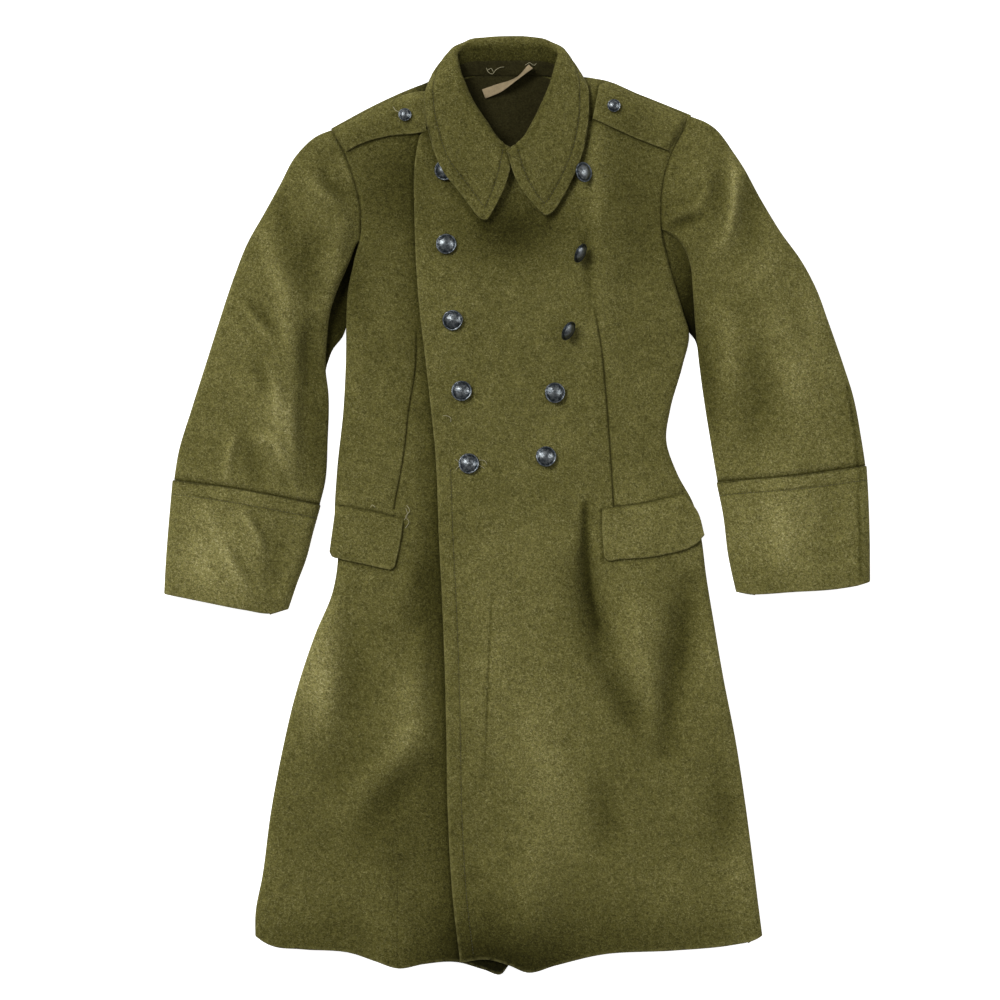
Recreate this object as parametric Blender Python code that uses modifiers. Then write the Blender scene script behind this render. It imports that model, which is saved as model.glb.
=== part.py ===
"""A double-breasted wool greatcoat, buttoned up and laid out face up on a flat surface.

The back and the under sleeves lie on the surface as flat cloth. The fronts, the top sleeves
and the cuffs stand over them, and their sides roll round and under as folded cloth does. The
collar is a ring about the neck: its back lies down, its fronts fold over onto the chest.
x runs to the viewer's right, y to the collar, z up. Tables are in millimetres.
"""

import math
from collections import namedtuple

import bpy
import numpy as np

MM = 0.001

# Cloth and seams
CLOTH = 2.5
CUFF_CLOTH = 3.6
LINING_CLOTH = 1.2
TAPE_CLOTH = 1.0
SEAM = 0.3
REST = CLOTH + SEAM + CLOTH / 2
BACK_INSET = 2.0

# Loft of the laid coat, to the middle of the upper cloth
BODY_LOFT = 14.5
BODY_CROWN = 4.5
CROWN_REACH = 80.0
SLEEVE_LOFT = 19.5
SLEEVE_CROWN = 5.0
ARMHOLE_LOFT = 14.5
SLEEVE_HEAD_REACH = 0.16
CUFF_RISE = 2.4
SHOULDER_REACH = 24.0
SHOULDER_EDGE = REST + 0.4

# How the sides roll round: half width of the roll, and the run beneath
BODY_ROLL = 6.75
SLEEVE_ROLL = 9.0
SEAM_ROLL = 1.2
UNDER_RUN = 8.0
SEAM_RUN = 0.6
SQUARE_REACH = 0.3

# The over front lies on the under front
LAP_LIFT = 3.3
LAP_SINK = 3.0
LAP_FADE = 60.0

# Collar
SEAM_HALF = 0.8
ROLL_FRONT = 5.5
ROLL_BACK = 4.0
FOLD_FRONT = 30.0
FALL_LIFT = 3.4
BUTTON_LIFT = 8.0
BUTTON_SPREAD = 26.0

# What lies on the fronts
LAID_GAP = 0.9
BUTTON_RADIUS = 13.0
STRAP_BUTTON_RADIUS = 8.2
BUTTON_GAP = 0.35
TAPE_WIDTH = 11.5

# Steps of the sections
FRONT_ROWS = 32
FRONT_COLUMNS = 12
SLEEVE_ROWS = 18
SLEEVE_COLUMNS = 8
CUFF_ROWS = 5
ROLL_STEPS = 5
COLLAR_SECTIONS = 36
BUTTON_STEPS = 12

Edge = namedtuple("Edge", "x y")
Side = namedtuple("Side", "x y turn")
Fold = namedtuple("Fold", "x0 y0 x1 y1 x2 y2 width height")
Collar = namedtuple("Collar", "neck_x neck_y fold_x fold_y edge_x edge_y angle")
Button = namedtuple("Button", "x y tilt lean")

# Wearer's right side from hem to shoulder point: silhouette, and how far the cloth turns under
RIGHT_SIDE = [
    Side(-333, -547, 178),
    Side(-333, -520, 178),
    Side(-324, -470, 178),
    Side(-314, -394, 178),
    Side(-300, -318, 178),
    Side(-282, -241, 178),
    Side(-257, -165, 178),
    Side(-234, -108, 178),
    Side(-228, -68, 178),
    Side(-232, -20, 178),
    Side(-229, 44, 178),
    Side(-221, 121, 178),
    Side(-218, 178, 178),
    Side(-217, 235, 150),
    Side(-215, 271, 110),
    Side(-207, 309, 60),
    Side(-198, 342, 26),
    Side(-198, 377, 24),
    Side(-207, 415, 24),
    Side(-218, 446, 24),
    Side(-236, 478, 24),
]
# Wearer's left side from hem to shoulder point
LEFT_SIDE = [
    Side(312, -547, 178),
    Side(307, -508, 178),
    Side(300, -451, 178),
    Side(290, -375, 178),
    Side(278, -298, 178),
    Side(263, -222, 178),
    Side(250, -146, 178),
    Side(240, -83, 178),
    Side(235, -44, 178),
    Side(225, 0, 178),
    Side(203, 42, 178),
    Side(190, 83, 178),
    Side(195, 121, 178),
    Side(211, 178, 178),
    Side(219, 218, 165),
    Side(211, 246, 130),
    Side(201, 279, 100),
    Side(191, 314, 50),
    Side(183, 342, 26),
    Side(182, 372, 24),
    Side(187, 420, 24),
    Side(196, 447, 24),
    Side(221, 495, 24),
]
# Free edge of the over front, hem to top
OVER_EDGE = [
    Edge(-72, -580),
    Edge(-81, -505),
    Edge(-88, -387),
    Edge(-90, -273),
    Edge(-94, -146),
    Edge(-99, -44),
    Edge(-103, 57),
    Edge(-114, 165),
    Edge(-126, 273),
    Edge(-130, 362),
    Edge(-129, 440),
    Edge(-124, 468),
]
# Hidden edge of the under front, hem to top
UNDER_EDGE = [
    Edge(-11, -584),
    Edge(-3, -502),
    Edge(17, -324),
    Edge(39, -121),
    Edge(64, 52),
    Edge(95, 234),
    Edge(108, 330),
    Edge(110, 400),
    Edge(106, 449),
]
RIGHT_HEM = [
    Edge(-333, -547),
    Edge(-318, -558),
    Edge(-272, -564),
    Edge(-211, -568),
    Edge(-180, -578),
    Edge(-150, -587),
    Edge(-119, -582),
    Edge(-74, -580),
    Edge(-43, -589),
    Edge(-20, -595),
    Edge(-11, -584),
]
LEFT_HEM = [
    Edge(-72, -580),
    Edge(-38, -576),
    Edge(-10, -583),
    Edge(13, -592),
    Edge(48, -584),
    Edge(109, -570),
    Edge(201, -565),
    Edge(277, -558),
    Edge(305, -552),
    Edge(312, -547),
]
BACK_HEM = [
    Edge(-329, -543),
    Edge(-260, -556),
    Edge(-150, -570),
    Edge(-40, -572),
    Edge(60, -570),
    Edge(200, -557),
    Edge(308, -543),
]
RIGHT_SHOULDER = [
    Edge(-236, 478),
    Edge(-174, 511),
    Edge(-123, 533),
    Edge(-97, 541),
]
LEFT_SHOULDER = [
    Edge(77, 541),
    Edge(105, 540),
    Edge(156, 521),
    Edge(221, 495),
]
# Neck line of the under front, shoulder to its hidden edge
RIGHT_NECK = [
    Edge(-97, 541),
    Edge(-85, 508),
    Edge(-65, 474),
    Edge(-37, 446),
    Edge(-8, 431),
    Edge(50, 438),
    Edge(106, 449),
]
# Neck line of the over front, free edge to shoulder
LEFT_NECK = [
    Edge(-124, 468),
    Edge(-113, 475),
    Edge(-90, 469),
    Edge(-53, 440),
    Edge(-11, 416),
    Edge(22, 436),
    Edge(48, 472),
    Edge(67, 508),
    Edge(77, 541),
]
BACK_NECK = [
    Edge(77, 541),
    Edge(55, 548),
    Edge(-11, 549),
    Edge(-75, 548),
    Edge(-97, 541),
]

# Sleeves: edges from the cuff seam up to the armhole
RIGHT_OUTER = [
    Side(-436, 33, 178),
    Side(-431, 64, 178),
    Side(-414, 121, 178),
    Side(-396, 178, 178),
    Side(-378, 235, 178),
    Side(-359, 292, 178),
    Side(-344, 330, 178),
    Side(-323, 368, 178),
    Side(-302, 406, 178),
    Side(-281, 444, 178),
    Side(-259, 466, 150),
    Side(-238, 478, 120),
]
RIGHT_INNER = [
    Side(-250, 1, 178),
    Side(-244, 25, 178),
    Side(-240, 83, 178),
    Side(-239, 140, 178),
    Side(-243, 178, 178),
    Side(-241, 210, 178),
    Side(-237, 245, 160),
    Side(-228, 273, 120),
    Side(-215, 303, 70),
    Side(-201, 341, 30),
]
RIGHT_ARMHOLE = [
    Edge(-238, 478),
    Edge(-220, 446),
    Edge(-209, 415),
    Edge(-200, 377),
    Edge(-201, 341),
]
RIGHT_CUFF_SEAM = [
    Edge(-436, 33),
    Edge(-358, 22),
    Edge(-250, 1),
]
LEFT_OUTER = [
    Side(443, 51, 178),
    Side(438, 83, 178),
    Side(427, 140, 178),
    Side(415, 178, 178),
    Side(395, 235, 178),
    Side(381, 273, 178),
    Side(361, 311, 178),
    Side(335, 347, 178),
    Side(311, 387, 178),
    Side(278, 444, 178),
    Side(249, 481, 150),
    Side(224, 495, 120),
]
LEFT_INNER = [
    Side(254, 30, 178),
    Side(245, 83, 178),
    Side(236, 140, 178),
    Side(230, 187, 178),
    Side(226, 229, 178),
    Side(223, 273, 160),
    Side(220, 305, 120),
    Side(209, 331, 70),
    Side(186, 352, 30),
]
LEFT_ARMHOLE = [
    Edge(186, 352),
    Edge(184, 374),
    Edge(189, 420),
    Edge(198, 447),
    Edge(224, 495),
]
LEFT_CUFF_SEAM = [
    Edge(254, 30),
    Edge(348, 38),
    Edge(443, 51),
]
# Cuffs: edges from the hem up to the cuff seam
RIGHT_CUFF_OUTER = [
    Side(-448.3, -113, 178),
    Side(-446, -70, 178),
    Side(-442, -19, 178),
    Side(-437.5, 32, 178),
]
RIGHT_CUFF_INNER = [
    Side(-291, -128, 178),
    Side(-279, -99, 178),
    Side(-268, -70, 178),
    Side(-258.5, -34, 178),
    Side(-249, 0, 178),
]
RIGHT_CUFF_HEM = [
    Edge(-448.3, -113),
    Edge(-396, -123),
    Edge(-345, -133),
    Edge(-311, -137),
    Edge(-291, -128),
]
LEFT_CUFF_OUTER = [
    Side(448.3, -90, 178),
    Side(448, -44, 178),
    Side(446.5, 6, 178),
    Side(444, 50, 178),
]
LEFT_CUFF_INNER = [
    Side(276, -105, 178),
    Side(268, -65, 178),
    Side(261.5, -13, 178),
    Side(253, 29, 178),
]
LEFT_CUFF_HEM = [
    Edge(276, -105),
    Edge(287, -109),
    Edge(361, -103),
    Edge(423, -97),
    Edge(448.3, -90),
]
# Under sleeves where they show in the armpit: body side down to the inner sleeve edge
RIGHT_WEDGE = [
    Edge(-201, 341),
    Edge(-211, 309),
    Edge(-219, 271),
    Edge(-221, 235),
    Edge(-226, 216),
    Edge(-236, 197),
    Edge(-242, 178),
]
LEFT_WEDGE = [
    Edge(185, 342),
    Edge(194, 316),
    Edge(204, 281),
    Edge(214, 248),
    Edge(222, 222),
    Edge(228, 212),
    Edge(231, 195),
]

# Largest folds of the fronts: the run of each, its half width and its height
BODY_FOLDS = [
    Fold(-236, -106, -256, -180, -232, -290, 22, 5.0),
    Fold(-205, -165, -203, -250, -228, -330, 24, -5.5),
    Fold(-118, -90, -126, -140, -140, -190, 18, -4.5),
    Fold(84, -84, 102, -175, 142, -262, 22, -6.0),
    Fold(220, -105, 198, -210, 192, -305, 22, -6.0),
    Fold(243, -150, 254, -200, 262, -250, 18, 3.0),
    Fold(-150, -590, -160, -520, -185, -430, 38, 5.0),
    Fold(14, -595, 16, -520, 30, -440, 36, 4.5),
    Fold(120, 430, 108, 330, 100, 230, 34, 3.0),
]
RIGHT_SLEEVE_FOLDS = [
    Fold(-320, 160, -300, 90, -290, 20, 30, 3.5),
    Fold(-262, 210, -270, 120, -272, 40, 20, -4.0),
]
LEFT_SLEEVE_FOLDS = [
    Fold(276, 420, 300, 330, 330, 250, 30, 3.5),
    Fold(192, 366, 220, 378, 250, 400, 14, -3.0),
]

# The collar by sections from the wearer's right front end round the back to the left front end:
# neck seam, fold and outer edge in plan, and the way that the fold faces about the neck
COLLAR_ROWS = [
    Collar(-12, 431, -8, 449, -37, 361, 0),
    Collar(-30, 444, -23, 462, -65, 391, 6),
    Collar(-48, 464, -39, 485, -90, 424, 12),
    Collar(-64, 488, -55, 509, -109, 461, 22),
    Collar(-75, 510, -66, 533, -117, 499, 38),
    Collar(-80, 528, -74, 556, -115, 527, 62),
    Collar(-77, 540, -77, 577, -103, 552, 100),
    Collar(-64, 546, -64, 589, -74, 558, 150),
    Collar(-38, 547, -39, 594, -40, 554, 174),
    Collar(-10, 547, -11, 595.5, -11, 553, 180),
    Collar(18, 547, 18, 594.5, 20, 554, 186),
    Collar(42, 546, 41, 589, 50, 558, 210),
    Collar(56, 540, 54, 577, 76, 552, 260),
    Collar(58, 527, 49, 557, 88, 533, 298),
    Collar(52, 506, 43, 535, 91, 504, 322),
    Collar(40, 483, 33, 511, 89, 474, 338),
    Collar(23, 461, 20, 484, 80, 436, 348),
    Collar(8, 444, 6, 462, 62, 396, 354),
    Collar(-6, 432, -8, 447, 34, 366, 360),
]

# Pocket flaps and shoulder straps in plan: lower edge, upper edge and the two ends
RIGHT_FLAP_TOP = [Edge(-229, 0), Edge(-185, -8), Edge(-144, -18)]
RIGHT_FLAP_LOW = [Edge(-233, -60), Edge(-226, -68), Edge(-190, -76), Edge(-162, -82), Edge(-155, -78)]
RIGHT_FLAP_ENDS = [Edge(-230, -30), Edge(-148, -48)]
LEFT_FLAP_TOP = [Edge(108, -5), Edge(160, 2), Edge(211, 14)]
LEFT_FLAP_LOW = [Edge(110, -64), Edge(117, -70), Edge(184, -64), Edge(230, -47), Edge(238, -38)]
LEFT_FLAP_ENDS = [Edge(108, -34), Edge(229, -8)]
RIGHT_STRAP_LOW = [Edge(-216.5, 448), Edge(-197, 458), Edge(-165, 467), Edge(-129, 471), Edge(-122, 478)]
RIGHT_STRAP_TOP = [Edge(-233, 477), Edge(-180, 504), Edge(-129, 524), Edge(-122, 519)]
LEFT_STRAP_LOW = [Edge(95.5, 489), Edge(145, 467), Edge(193, 449)]
LEFT_STRAP_TOP = [Edge(104, 532), Edge(111, 536), Edge(156, 518), Edge(218, 493)]

# Buttons: place, tilt of the shank from upright, and the way it leans about z
FRONT_BUTTONS = {
    "button_front_r1": Button(-91, 424, 8, 180),
    "button_front_r2": Button(-90, 330, 6, 60),
    "button_front_r3": Button(-81, 234, 8, 200),
    "button_front_r4": Button(-70, 144, 6, 120),
    "button_front_r5": Button(-61, 52, 6, 100),
    "button_front_l1": Button(81, 420, 38, 8),
    "button_front_l2": Button(76, 320, 64, -27),
    "button_front_l3": Button(61, 222, 60, -30),
    "button_front_l4": Button(47, 142, 10, 0),
    "button_front_l5": Button(36, 61, 8, 30),
}
STRAP_BUTTONS = {
    "button_strap_right": Button(-142, 494, 6, 90),
    "button_strap_left": Button(122.5, 505, 6, 90),
}
# Turned profile of a button as shares of its radius: radius and height above the cloth.
# The shanks of the fastened row pass through the buttonholes, so those lie on their backs.
SHANK = [
    Edge(0.0, 0.0),
    Edge(0.24, 0.0),
    Edge(0.24, 0.24),
]
BUTTON_BACK = Edge(0.0, 0.26)
BUTTON_PROFILE = [
    Edge(0.88, 0.28),
    Edge(1.0, 0.38),
    Edge(0.95, 0.46),
    Edge(0.86, 0.46),
    Edge(0.52, 0.66),
    Edge(0.0, 0.76),
]
NECK_LINING = [
    Edge(-84, 415),
    Edge(62, 415),
    Edge(62, 500),
    Edge(54, 538),
    Edge(40, 543),
    Edge(-62, 543),
    Edge(-76, 538),
    Edge(-84, 500),
]
# Run of the tape from its sewn end, with its height
TAPE_RUN = [
    (17, 557, 9.6),
    (5, 550, 8.6),
    (-8, 542, 7.2),
    (-25, 532, 5.2),
    (-42, 522, 4.8),
]

WOOL = (0.118, 0.108, 0.036, 1.0)
WOOL_INSIDE = (0.052, 0.046, 0.018, 1.0)
METAL = (0.11, 0.125, 0.13, 1.0)
TAPE = (0.21, 0.165, 0.09, 1.0)


def smooth_line(rows):
    """A smooth line through the rows of a table, as a function of the share of its length."""
    table = np.array(rows, dtype=float)
    steps = np.linalg.norm(np.diff(table[:, :2], axis=0), axis=1)
    knots = np.concatenate([[0.0], np.cumsum(steps)]) / steps.sum()
    slopes = np.gradient(table, knots, axis=0)

    def at(share):
        share = np.clip(np.asarray(share, dtype=float), 0.0, 1.0)
        low = np.clip(np.searchsorted(knots, share, side="right") - 1, 0, len(knots) - 2)
        span = (knots[low + 1] - knots[low])[..., None]
        s = (share - knots[low])[..., None] / span
        value = (2 * s**3 - 3 * s**2 + 1) * table[low] + (3 * s**2 - 2 * s**3) * table[low + 1]
        return value + span * ((s**3 - 2 * s**2 + s) * slopes[low] + (s**3 - s**2) * slopes[low + 1])

    return at


def across(rows):
    """The x of a side or edge line at a height y."""
    line = smooth_line(rows)(np.linspace(0.0, 1.0, 400))
    order = np.argsort(line[:, 1])
    return lambda y: np.interp(y, line[order, 1], line[order, 0])


def ease(t):
    t = np.clip(t, 0.0, 1.0)
    return t * t * (3.0 - 2.0 * t)


def fold_heights(x, y, folds):
    """Sum of the soft ridges and troughs at points of the plan."""
    total = np.zeros(np.shape(x))
    t = np.linspace(0.0, 1.0, 25)
    for fold in folds:
        fx = (1 - t) ** 2 * fold.x0 + 2 * t * (1 - t) * fold.x1 + t**2 * fold.x2
        fy = (1 - t) ** 2 * fold.y0 + 2 * t * (1 - t) * fold.y1 + t**2 * fold.y2
        away = (np.asarray(x)[..., None] - fx) ** 2 + (np.asarray(y)[..., None] - fy) ** 2
        strength = 0.35 + 0.65 * np.sin(math.pi * (0.1 + 0.8 * t))
        total = total + fold.height * np.max(strength * np.exp(-away / fold.width**2), axis=-1)
    return total


right_side_x = across(RIGHT_SIDE)
left_side_x = across(LEFT_SIDE)
over_edge_x = across(OVER_EDGE)
under_edge_x = across(UNDER_EDGE)


def shoulder_drop(x, y):
    """Share of the loft that is left near a shoulder line, where the front comes down to the back."""
    right_y = np.interp(x, [-236, -174, -123, -97], [478, 511, 533, 541])
    left_y = np.interp(x, [77, 105, 156, 221], [541, 540, 521, 495])
    line_y = np.where(x < -10, right_y, left_y)
    depth = np.clip((line_y - y) * 0.9 / SHOULDER_REACH, 0.0, 1.0)
    return 1.0 - (1.0 - depth) ** 2


def body_height(x, y):
    """Middle of the upper cloth of the body over the plan."""
    depth = np.minimum(x - right_side_x(y), left_side_x(y) - x)
    crown = BODY_CROWN * (1.0 - np.exp(-((np.maximum(depth, 0.0) / CROWN_REACH) ** 2)))
    full = BODY_LOFT + crown + fold_heights(x, y, BODY_FOLDS)
    return SHOULDER_EDGE + (full - SHOULDER_EDGE) * shoulder_drop(x, y)


def right_height(x, y):
    """The under front: it sinks away where the over front hides it."""
    return body_height(x, y) - LAP_SINK * ease((x - over_edge_x(y) - 6.0) / 40.0)


def left_height(x, y):
    """The over front: lifted where it lies on the under front."""
    return body_height(x, y) + LAP_LIFT * (1.0 - ease((x - under_edge_x(y)) / LAP_FADE))


def sleeve_height(folds):
    """Middle of the upper cloth of a sleeve; u across, v from the cuff seam to the armhole."""

    def height(x, y, u, v):
        head = ease((1.0 - v) / SLEEVE_HEAD_REACH)
        base = ARMHOLE_LOFT + (SLEEVE_LOFT - ARMHOLE_LOFT) * head
        return base + SLEEVE_CROWN * head * np.sin(math.pi * u) + fold_heights(x, y, folds) * head

    return height


def cuff_height(x, y, u, v):
    return SLEEVE_LOFT + CUFF_RISE + SLEEVE_CROWN * np.sin(math.pi * u)


def outward_of(line, shares, side):
    """Plan direction out of a panel along its side line; side is -1 at the left, 1 at the right."""
    step = 0.004
    run = line(shares + step)[:, :2] - line(shares - step)[:, :2]
    run = run / np.linalg.norm(run, axis=1)[:, None]
    return side * np.stack([run[:, 1], -run[:, 0]], axis=1)


def roll_sizes(turn, width, run):
    """Half width of the roll and run beneath it, small where the edge is a seam."""
    share = ease((turn - 30.0) / 110.0)
    half = SEAM_ROLL + (width - SEAM_ROLL) * share
    return half, SEAM_RUN + (run - SEAM_RUN) * ease((turn - 110.0) / 60.0)


def panel(left, right, low, high, height, rows, columns, rolls, cloth, square=None):
    """Grid of a panel from its four edge lines, with its sides rolled round as the tables say.

    Near a squared end the rolls run along the rows, so that they meet the next piece's."""
    u = np.linspace(0.0, 1.0, columns + 1)
    v = np.linspace(0.0, 1.0, rows + 1)
    edges = []
    for line, side, rolled in ((left, -1, rolls[0]), (right, 1, rolls[1])):
        points = line(v)
        if not rolled:
            edges.append((points[:, :2], None))
            continue
        turn = points[:, 2]
        half, run = roll_sizes(turn, rolled, UNDER_RUN)
        sine = np.sin(np.radians(np.minimum(turn, 90.0)))
        inset = (half + cloth / 2) * sine + run * np.maximum(np.cos(np.radians(turn)), 0.0)
        out = outward_of(line, v, side)
        if square is not None:
            chord = right(v)[:, :2] - left(v)[:, :2]
            chord = side * chord / np.linalg.norm(chord, axis=1)[:, None]
            share = ease(1.0 - np.abs(v - square) / SQUARE_REACH)[:, None]
            out = out + (chord - out) * share
        edges.append((points[:, :2] - out * inset[:, None], (out, turn, half, run)))
    start, finish = edges[0][0], edges[1][0]
    lows, highs = low(u)[:, :2], high(u)[:, :2]
    lows = lows + (1 - u)[:, None] * (start[0] - lows[0]) + u[:, None] * (finish[0] - lows[-1])
    highs = highs + (1 - u)[:, None] * (start[-1] - highs[0]) + u[:, None] * (finish[-1] - highs[-1])
    uu, vv = u[None, :, None], v[:, None, None]
    plan = (1 - vv) * lows[None] + vv * highs[None] + (1 - uu) * start[:, None] + uu * finish[:, None]
    plan = plan - (1 - vv) * ((1 - uu) * lows[0] + uu * lows[-1])
    plan = plan - vv * ((1 - uu) * highs[0] + uu * highs[-1])
    z = height(plan[..., 0], plan[..., 1], uu[..., 0] + 0 * vv[..., 0], vv[..., 0] + 0 * uu[..., 0])
    grid = [np.concatenate([plan[:, j], z[:, j : j + 1]], axis=1) for j in range(columns + 1)]
    for index, place in ((0, 0), (1, -1)):
        if edges[index][1] is None:
            continue
        out, turn, half, run = edges[index][1]
        top = grid[place]
        rest = CLOTH + SEAM + cloth / 2
        middle, drop = (top[:, 2] + rest) / 2, (top[:, 2] - rest) / 2
        rolled = []
        for step in range(1, ROLL_STEPS + 1):
            angle = np.radians(turn) * step / ROLL_STEPS
            spot = top[:, :2] + out * (half * np.sin(angle))[:, None]
            rolled.append(np.column_stack([spot, middle + drop * np.cos(angle)]))
        angle = np.radians(turn)
        spot = rolled[-1][:, :2] + out * (run * np.cos(angle))[:, None]
        low_z = np.maximum(rolled[-1][:, 2] - run * np.sin(angle) * 0.5, rest)
        rolled.append(np.column_stack([spot, low_z]))
        grid = rolled[::-1] + grid if index == 0 else grid + rolled
    return np.stack(grid, axis=1)


def plain(height):
    """A height over the plan, taken by a panel."""
    return lambda x, y, u, v: height(x, y)


def lay(left, right, low, high, height, rows, columns):
    """Grid of a piece that lies on a front, from its edge lines in plan."""
    return panel(left, right, low, high, plain(height), rows, columns, (None, None), CLOTH)


def collar_grid(sections, steps):
    """Points of the collar: round the neck, and from the neck seam over the fold to the outer edge."""
    rows = smooth_line(COLLAR_ROWS)(np.linspace(0.0, 1.0, sections + 1))
    neck_x, neck_y, fold_x, fold_y, edge_x, edge_y, angle = rows.T
    turn = np.radians(angle)
    front = (1.0 + np.cos(turn)) / 2
    roll = ROLL_BACK + (ROLL_FRONT - ROLL_BACK) * front
    neck_z = REST + (left_height(neck_x, neck_y) - REST) * front
    fold_z = CLOTH / 2 + roll + (FOLD_FRONT - CLOTH / 2 - roll) * front
    edge_z = CLOTH / 2 + (left_height(edge_x, edge_y) + FALL_LIFT - CLOTH / 2) * ease(front * 1.6)
    neck = np.stack([neck_x, neck_y, neck_z], axis=1)
    fold = np.stack([fold_x, fold_y, fold_z], axis=1)
    edge = np.stack([edge_x, edge_y, edge_z], axis=1)
    along = np.stack([fold_x - edge_x, fold_y - edge_y, 0 * turn], axis=1)
    along = along / np.linalg.norm(along, axis=1)[:, None]
    beside = np.stack([-along[:, 1], along[:, 0], 0 * turn], axis=1)
    out = np.cos(turn)[:, None] * np.array([0.0, 0.0, 1.0]) + np.sin(turn)[:, None] * beside
    roll = roll[:, None]
    centre = fold - along * roll
    foot, head = centre - out * roll, centre + out * roll
    stand_way = foot - along * np.linalg.norm(foot - neck, axis=1)[:, None] * 0.4
    fall_way = head - along * np.linalg.norm(head - edge, axis=1)[:, None] * 0.5
    columns = []
    for t in np.linspace(0.0, 1.0, steps[0], endpoint=False):
        columns.append((1 - t) ** 2 * neck + 2 * t * (1 - t) * stand_way + t**2 * foot)
    for t in np.linspace(0.0, math.pi, steps[1], endpoint=False):
        columns.append(centre + roll * (math.sin(t) * along - math.cos(t) * out))
    for t in np.linspace(0.0, 1.0, steps[2]):
        columns.append((1 - t) ** 2 * head + 2 * t * (1 - t) * fall_way + t**2 * edge)
    grid = np.stack(columns, axis=1)
    fall = steps[0] + steps[1]
    x, y, z = grid[:, fall:, 0], grid[:, fall:, 1], grid[:, fall:, 2]
    hidden = FRONT_BUTTONS["button_front_r1"]
    apart = (x - hidden.x) ** 2 + (y - hidden.y) ** 2
    held = np.maximum(z, left_height(x, y) + FALL_LIFT + BUTTON_LIFT * np.exp(-apart / BUTTON_SPREAD**2))
    grid[:, fall:, 2] = z + (held - z) * ease((front[:, None] - 0.35) / 0.25)
    return grid


def make_material(name, colour, roughness, metallic):
    material = bpy.data.materials.new(name)
    material.use_nodes = True
    shader = material.node_tree.nodes["Principled BSDF"]
    shader.inputs["Base Color"].default_value = colour
    shader.inputs["Roughness"].default_value = roughness
    shader.inputs["Metallic"].default_value = metallic
    return material


def add_object(name, mesh, colour, roughness=0.95, metallic=0.0):
    """A named piece with a material of its own, in the coat's collection."""
    piece = bpy.data.objects.new(name, mesh)
    mesh.materials.append(make_material(name + "_material", colour, roughness, metallic))
    coat.objects.link(piece)
    for face in mesh.polygons:
        face.use_smooth = True
    return piece


def thicken(piece, thickness, offset, even=True):
    wall = piece.modifiers.new("wall", "SOLIDIFY")
    wall.thickness = thickness * MM
    wall.offset = offset
    wall.use_even_offset = even
    return wall


def add_sheet(name, grid, thickness, colour, even=True):
    """A cloth wall about a grid of points."""
    rows, columns = grid.shape[:2]
    faces = []
    for i in range(rows - 1):
        for j in range(columns - 1):
            corner = i * columns + j
            faces.append((corner, corner + 1, corner + columns + 1, corner + columns))
    mesh = bpy.data.meshes.new(name)
    mesh.from_pydata((grid.reshape(-1, 3) * MM).tolist(), [], faces)
    mesh.update()
    piece = add_object(name, mesh, colour)
    thicken(piece, thickness, 0.0, even)
    return piece


def add_plate(name, outline, floor, thickness, colour):
    """Flat cloth from its outline, lying with its underside at a height."""
    points = np.array(outline, dtype=float)[:, :2]
    nexts = np.roll(points, -1, axis=0)
    if np.sum(points[:, 0] * nexts[:, 1] - nexts[:, 0] * points[:, 1]) < 0:
        points = points[::-1]
    mesh = bpy.data.meshes.new(name)
    places = [(x * MM, y * MM, floor * MM) for x, y in points]
    mesh.from_pydata(places, [], [tuple(range(len(places)))])
    mesh.update()
    piece = add_object(name, mesh, colour)
    thicken(piece, thickness, 1.0)
    for face in mesh.polygons:
        face.use_smooth = False
    return piece


def run_of(rows, count, shift=(0.0, 0.0), backwards=False, span=(0.0, 1.0)):
    """Points along a table's line, moved over in plan."""
    points = smooth_line(rows)(np.linspace(span[0], span[1], count))[:, :2] + np.array(shift)
    return points[::-1] if backwards else points


def inset_run(rows, count, side, amount, backwards=False, span=(0.0, 1.0)):
    """Points along a side line, moved into the panel by an amount."""
    line = smooth_line(rows)
    shares = np.linspace(span[0], span[1], count)
    points = line(shares)[:, :2] - outward_of(line, shares, side) * amount
    return points[::-1] if backwards else points


def add_button(name, row, radius, height, shank):
    """A domed button turned about its axis, tilted, and set down until it just clears the cloth."""
    mesh = bpy.data.meshes.new(name)
    section = (SHANK if shank else [BUTTON_BACK]) + BUTTON_PROFILE
    profile = [(p.x * radius * MM, 0.0, p.y * radius * MM) for p in section]
    mesh.from_pydata(profile, [(i, i + 1) for i in range(len(profile) - 1)], [])
    piece = add_object(name, mesh, METAL, 0.35, 0.9)
    turn = piece.modifiers.new("turn", "SCREW")
    turn.axis = "Z"
    turn.steps = BUTTON_STEPS
    turn.render_steps = BUTTON_STEPS
    turn.use_merge_vertices = True
    turn.merge_threshold = 0.00001
    turn.use_normal_calculate = True
    tilt, lean = math.radians(row.tilt), math.radians(row.lean)
    piece.rotation_euler = (0.0, tilt, lean)
    spin = np.linspace(0.0, 2 * math.pi, BUTTON_STEPS, endpoint=False)
    needed = -1000.0
    for p in section:
        bx, by, bz = p.x * radius * np.cos(spin), p.x * radius * np.sin(spin), p.y * radius
        tx, tz = bx * math.cos(tilt) + bz * math.sin(tilt), bz * math.cos(tilt) - bx * math.sin(tilt)
        px = row.x + tx * math.cos(lean) - by * math.sin(lean)
        py = row.y + tx * math.sin(lean) + by * math.cos(lean)
        needed = max(needed, float(np.max(height(px, py) + CLOTH / 2 + BUTTON_GAP - tz)))
    piece.location = (row.x * MM, row.y * MM, needed * MM)
    return piece


for old in list(bpy.data.objects):
    bpy.data.objects.remove(old, do_unlink=True)
coat = bpy.data.collections.new("greatcoat")
bpy.context.scene.collection.children.link(coat)

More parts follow.
